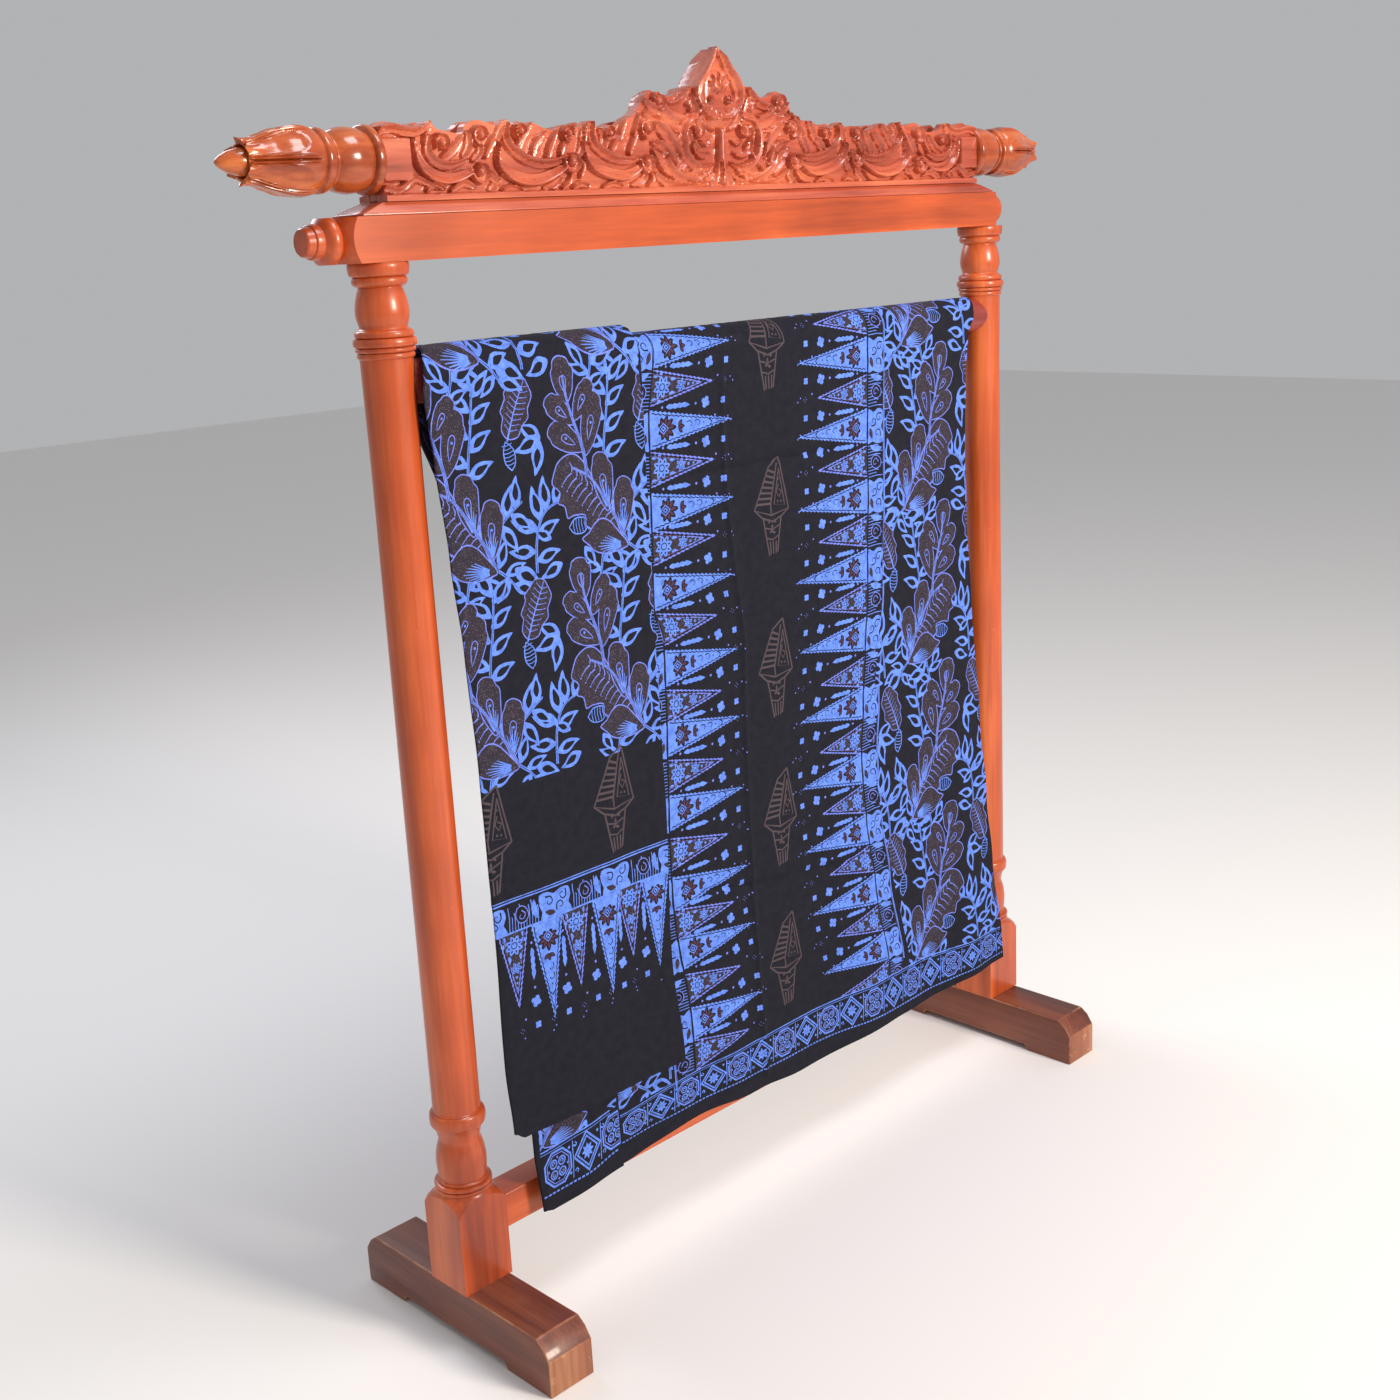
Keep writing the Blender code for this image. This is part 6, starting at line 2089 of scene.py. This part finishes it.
        for c in range(columns):
            for r in range(self.rows):
                builder.faces.new((front_verts[at(c, r)], front_verts[at(c + 1, r)], front_verts[at(c + 1, r + 1)],
                    front_verts[at(c, r + 1)]))
            for r, order in ((0, 1), (self.rows, -1)):
                quad = (front_verts[at(c, r)], front_verts[at(c + 1, r)], rear(c + 1, r), rear(c, r))
                builder.faces.new(quad[::order])
            builder.faces.new((rear(c, 0), rear(c, self.rows), rear(c + 1, self.rows), rear(c + 1, 0)))
        for c in (0, columns):
            ring = [front_verts[at(c, r)] for r in range(self.rows + 1)]
            builder.faces.new(ring + [rear(c, self.rows), rear(c, 0)])
        if not self.front:
            bmesh.ops.rotate(builder, verts=builder.verts, cent=(0.0, 0.0, 0.0),
                             matrix=Matrix.Rotation(math.pi, 3, "Z"))
        bmesh.ops.recalc_face_normals(builder, faces=builder.faces)
        mesh = bpy.data.meshes.new(self.name)
        builder.to_mesh(mesh)
        builder.free()
        board = bpy.data.objects.new(self.name, mesh)
        bpy.context.scene.collection.objects.link(board)
        return finish_piece(board, material, "lacquered_hardwood",
                            ["crest_board_front" if self.front else "crest_board_back"], 55.0)


# ---------------------------------------------------------------- the studio


@dataclass
class Studio:
    """Plain pale floor, soft light and the camera that took the view."""

    eye: tuple[float, float, float] = (-1.8057, -1.7676, 1.4635)
    yaw: float = -44.279
    pitch: float = -14.508
    roll: float = -2.951
    focal_px: float = 1736.83
    frame_px: float = 1400.0
    sensor_mm: float = 36.0
    centre_px: tuple[float, float] = (698.09, 676.43)

    def camera(self) -> None:
        """Set the camera so that the stand falls where it does in the view."""
        yaw, pitch, roll = (math.radians(v) for v in (self.yaw, self.pitch, self.roll))
        forward = Vector((math.sin(-yaw) * math.cos(pitch), math.cos(yaw) * math.cos(pitch), math.sin(pitch)))
        right = forward.cross(Vector((0.0, 0.0, 1.0))).normalized()
        up = right.cross(forward)
        across = right * math.cos(roll) + up * math.sin(roll)
        above = -right * math.sin(roll) + up * math.cos(roll)
        data = bpy.data.cameras.new("camera")
        data.sensor_width = self.sensor_mm
        data.lens = self.focal_px * self.sensor_mm / self.frame_px
        data.shift_x = (self.frame_px / 2.0 - self.centre_px[0]) / self.frame_px
        data.shift_y = (self.centre_px[1] - self.frame_px / 2.0) / self.frame_px
        data.clip_start, data.clip_end = 0.05, 60.0
        data.dof.use_dof = False
        camera = bpy.data.objects.new("camera", data)
        bpy.context.scene.collection.objects.link(camera)
        turned = Matrix((across, above, -forward)).transposed().to_4x4()
        camera.matrix_world = Matrix.Translation(self.eye) @ turned
        bpy.context.scene.camera = camera

    def floor(self) -> None:
        """Lay the floor."""
        bpy.ops.mesh.primitive_plane_add(size=24.0, location=(0.0, 0.0, 0.0))
        ground = bpy.context.object
        ground.name = "floor"
        material = bpy.data.materials.new("pale_floor")
        material.use_nodes = True
        shader = material.node_tree.nodes["Principled BSDF"]
        shader.inputs["Base Color"].default_value = linear("eeecea")
        shader.inputs["Roughness"].default_value = 0.85
        ground.data.materials.append(material)
        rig.stage(ground)

    def light(self) -> None:
        """Set soft lights and an even sky."""
        bpy.context.scene.view_settings.view_transform = "Standard"
        world = bpy.data.worlds.new("soft_sky")
        bpy.context.scene.world = world
        world.use_nodes = True
        world.node_tree.nodes["Background"].inputs["Color"].default_value = linear("f2f3f6")
        world.node_tree.nodes["Background"].inputs["Strength"].default_value = 0.50
        lamps = (
            ("key", (0.75, -3.8, 2.3), 0.9, 162.0, "fff2e0"),
            ("overhead", (0.3, -1.1, 4.0), 1.1, 42.0, "f8f8ff"),
            ("rim", (-0.3, 2.8, 3.0), 1.6, 45.0, "f4f6ff"),
        )
        for name, place, size, power, colour in lamps:
            data = bpy.data.lights.new(name, "AREA")
            data.size = size
            data.energy = power
            data.color = linear(colour)[:3]
            lamp = bpy.data.objects.new(name, data)
            bpy.context.scene.collection.objects.link(lamp)
            aim = Vector((0.0, 0.0, 0.9)) - Vector(place)
            lamp.matrix_world = Matrix.Translation(place) @ aim.to_track_quat("-Z", "Y").to_matrix().to_4x4()


def write_size(key: str) -> None:
    path = "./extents.json"
    low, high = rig.bounds()
    SIZES[key] = [[float(v) for v in low], [float(v) for v in high]]
    with open(path, "w", encoding="utf-8") as handle:
        json.dump(SIZES, handle)


SIZES: dict[str, list[list[float]]] = {}


def main() -> None:
    """Build and dress every sub-assembly in order."""
    logging.basicConfig(level=logging.INFO, format="%(message)s")
    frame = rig.load()
    write_size("frame")
    studio = Studio()
    studio.camera()
    studio.floor()
    studio.light()
    orange = {
        axis: LacqueredHardwood(f"lacquered_hardwood_{axis.name.lower()}", "813219", "bc5022", "e27238", axis,
                                streaks=0.2).build() for axis in GrainAxis
    }
    crest = LacqueredHardwood("lacquered_hardwood_crest", "682316", "b2523b", "d87852", GrainAxis.X, 0.24,
                              0.02).build()
    bud = LacqueredHardwood("lacquered_hardwood_bud", "5a210e", "a84c27", "d47338", GrainAxis.X, 0.18, 0.02).build()
    foot = LacqueredHardwood("lacquered_hardwood_foot", "3c1a12", "673020", "8a4a30", GrainAxis.Y, 0.42).build()
    # paler wood for the feet: rubbed wear on their rounded edges, painted light on their end faces
    worn = LacqueredHardwood("rubbed_hardwood_foot", "6a3522", "96583a", "b98460", GrainAxis.Z, 0.55,
                             wear=0.60).build()
    rod = LacqueredHardwood("dark_rod_wood", "4a1614", "86302a", "a04840", GrainAxis.X, 0.42).build()
    for side, x in (("left", POST_LEFT_X), ("right", POST_RIGHT_X)):
        TurnedPost(side, x).build(orange[GrainAxis.Z])
    SquaredPieces().build(frame["nodes"], {
        "foot_left": foot, "foot_right": foot, "stretcher": orange[GrainAxis.X], "crest_plate": crest,
        "crest_core": crest,
    }, worn)
    ClothRod().build(rod)
    UpperRail().build(orange[GrainAxis.X])
    CrestBoard("crest_board_front_carved", True).build(crest)
    CrestBoard("crest_board_back_carved", False).build(crest)
    Finial("finial_left_carved", -1.0).build(bud)
    Finial("finial_right_carved", 1.0).build(bud)
    Cloth().build()
    write_size("scene")


if __name__ == "__main__":
    main()
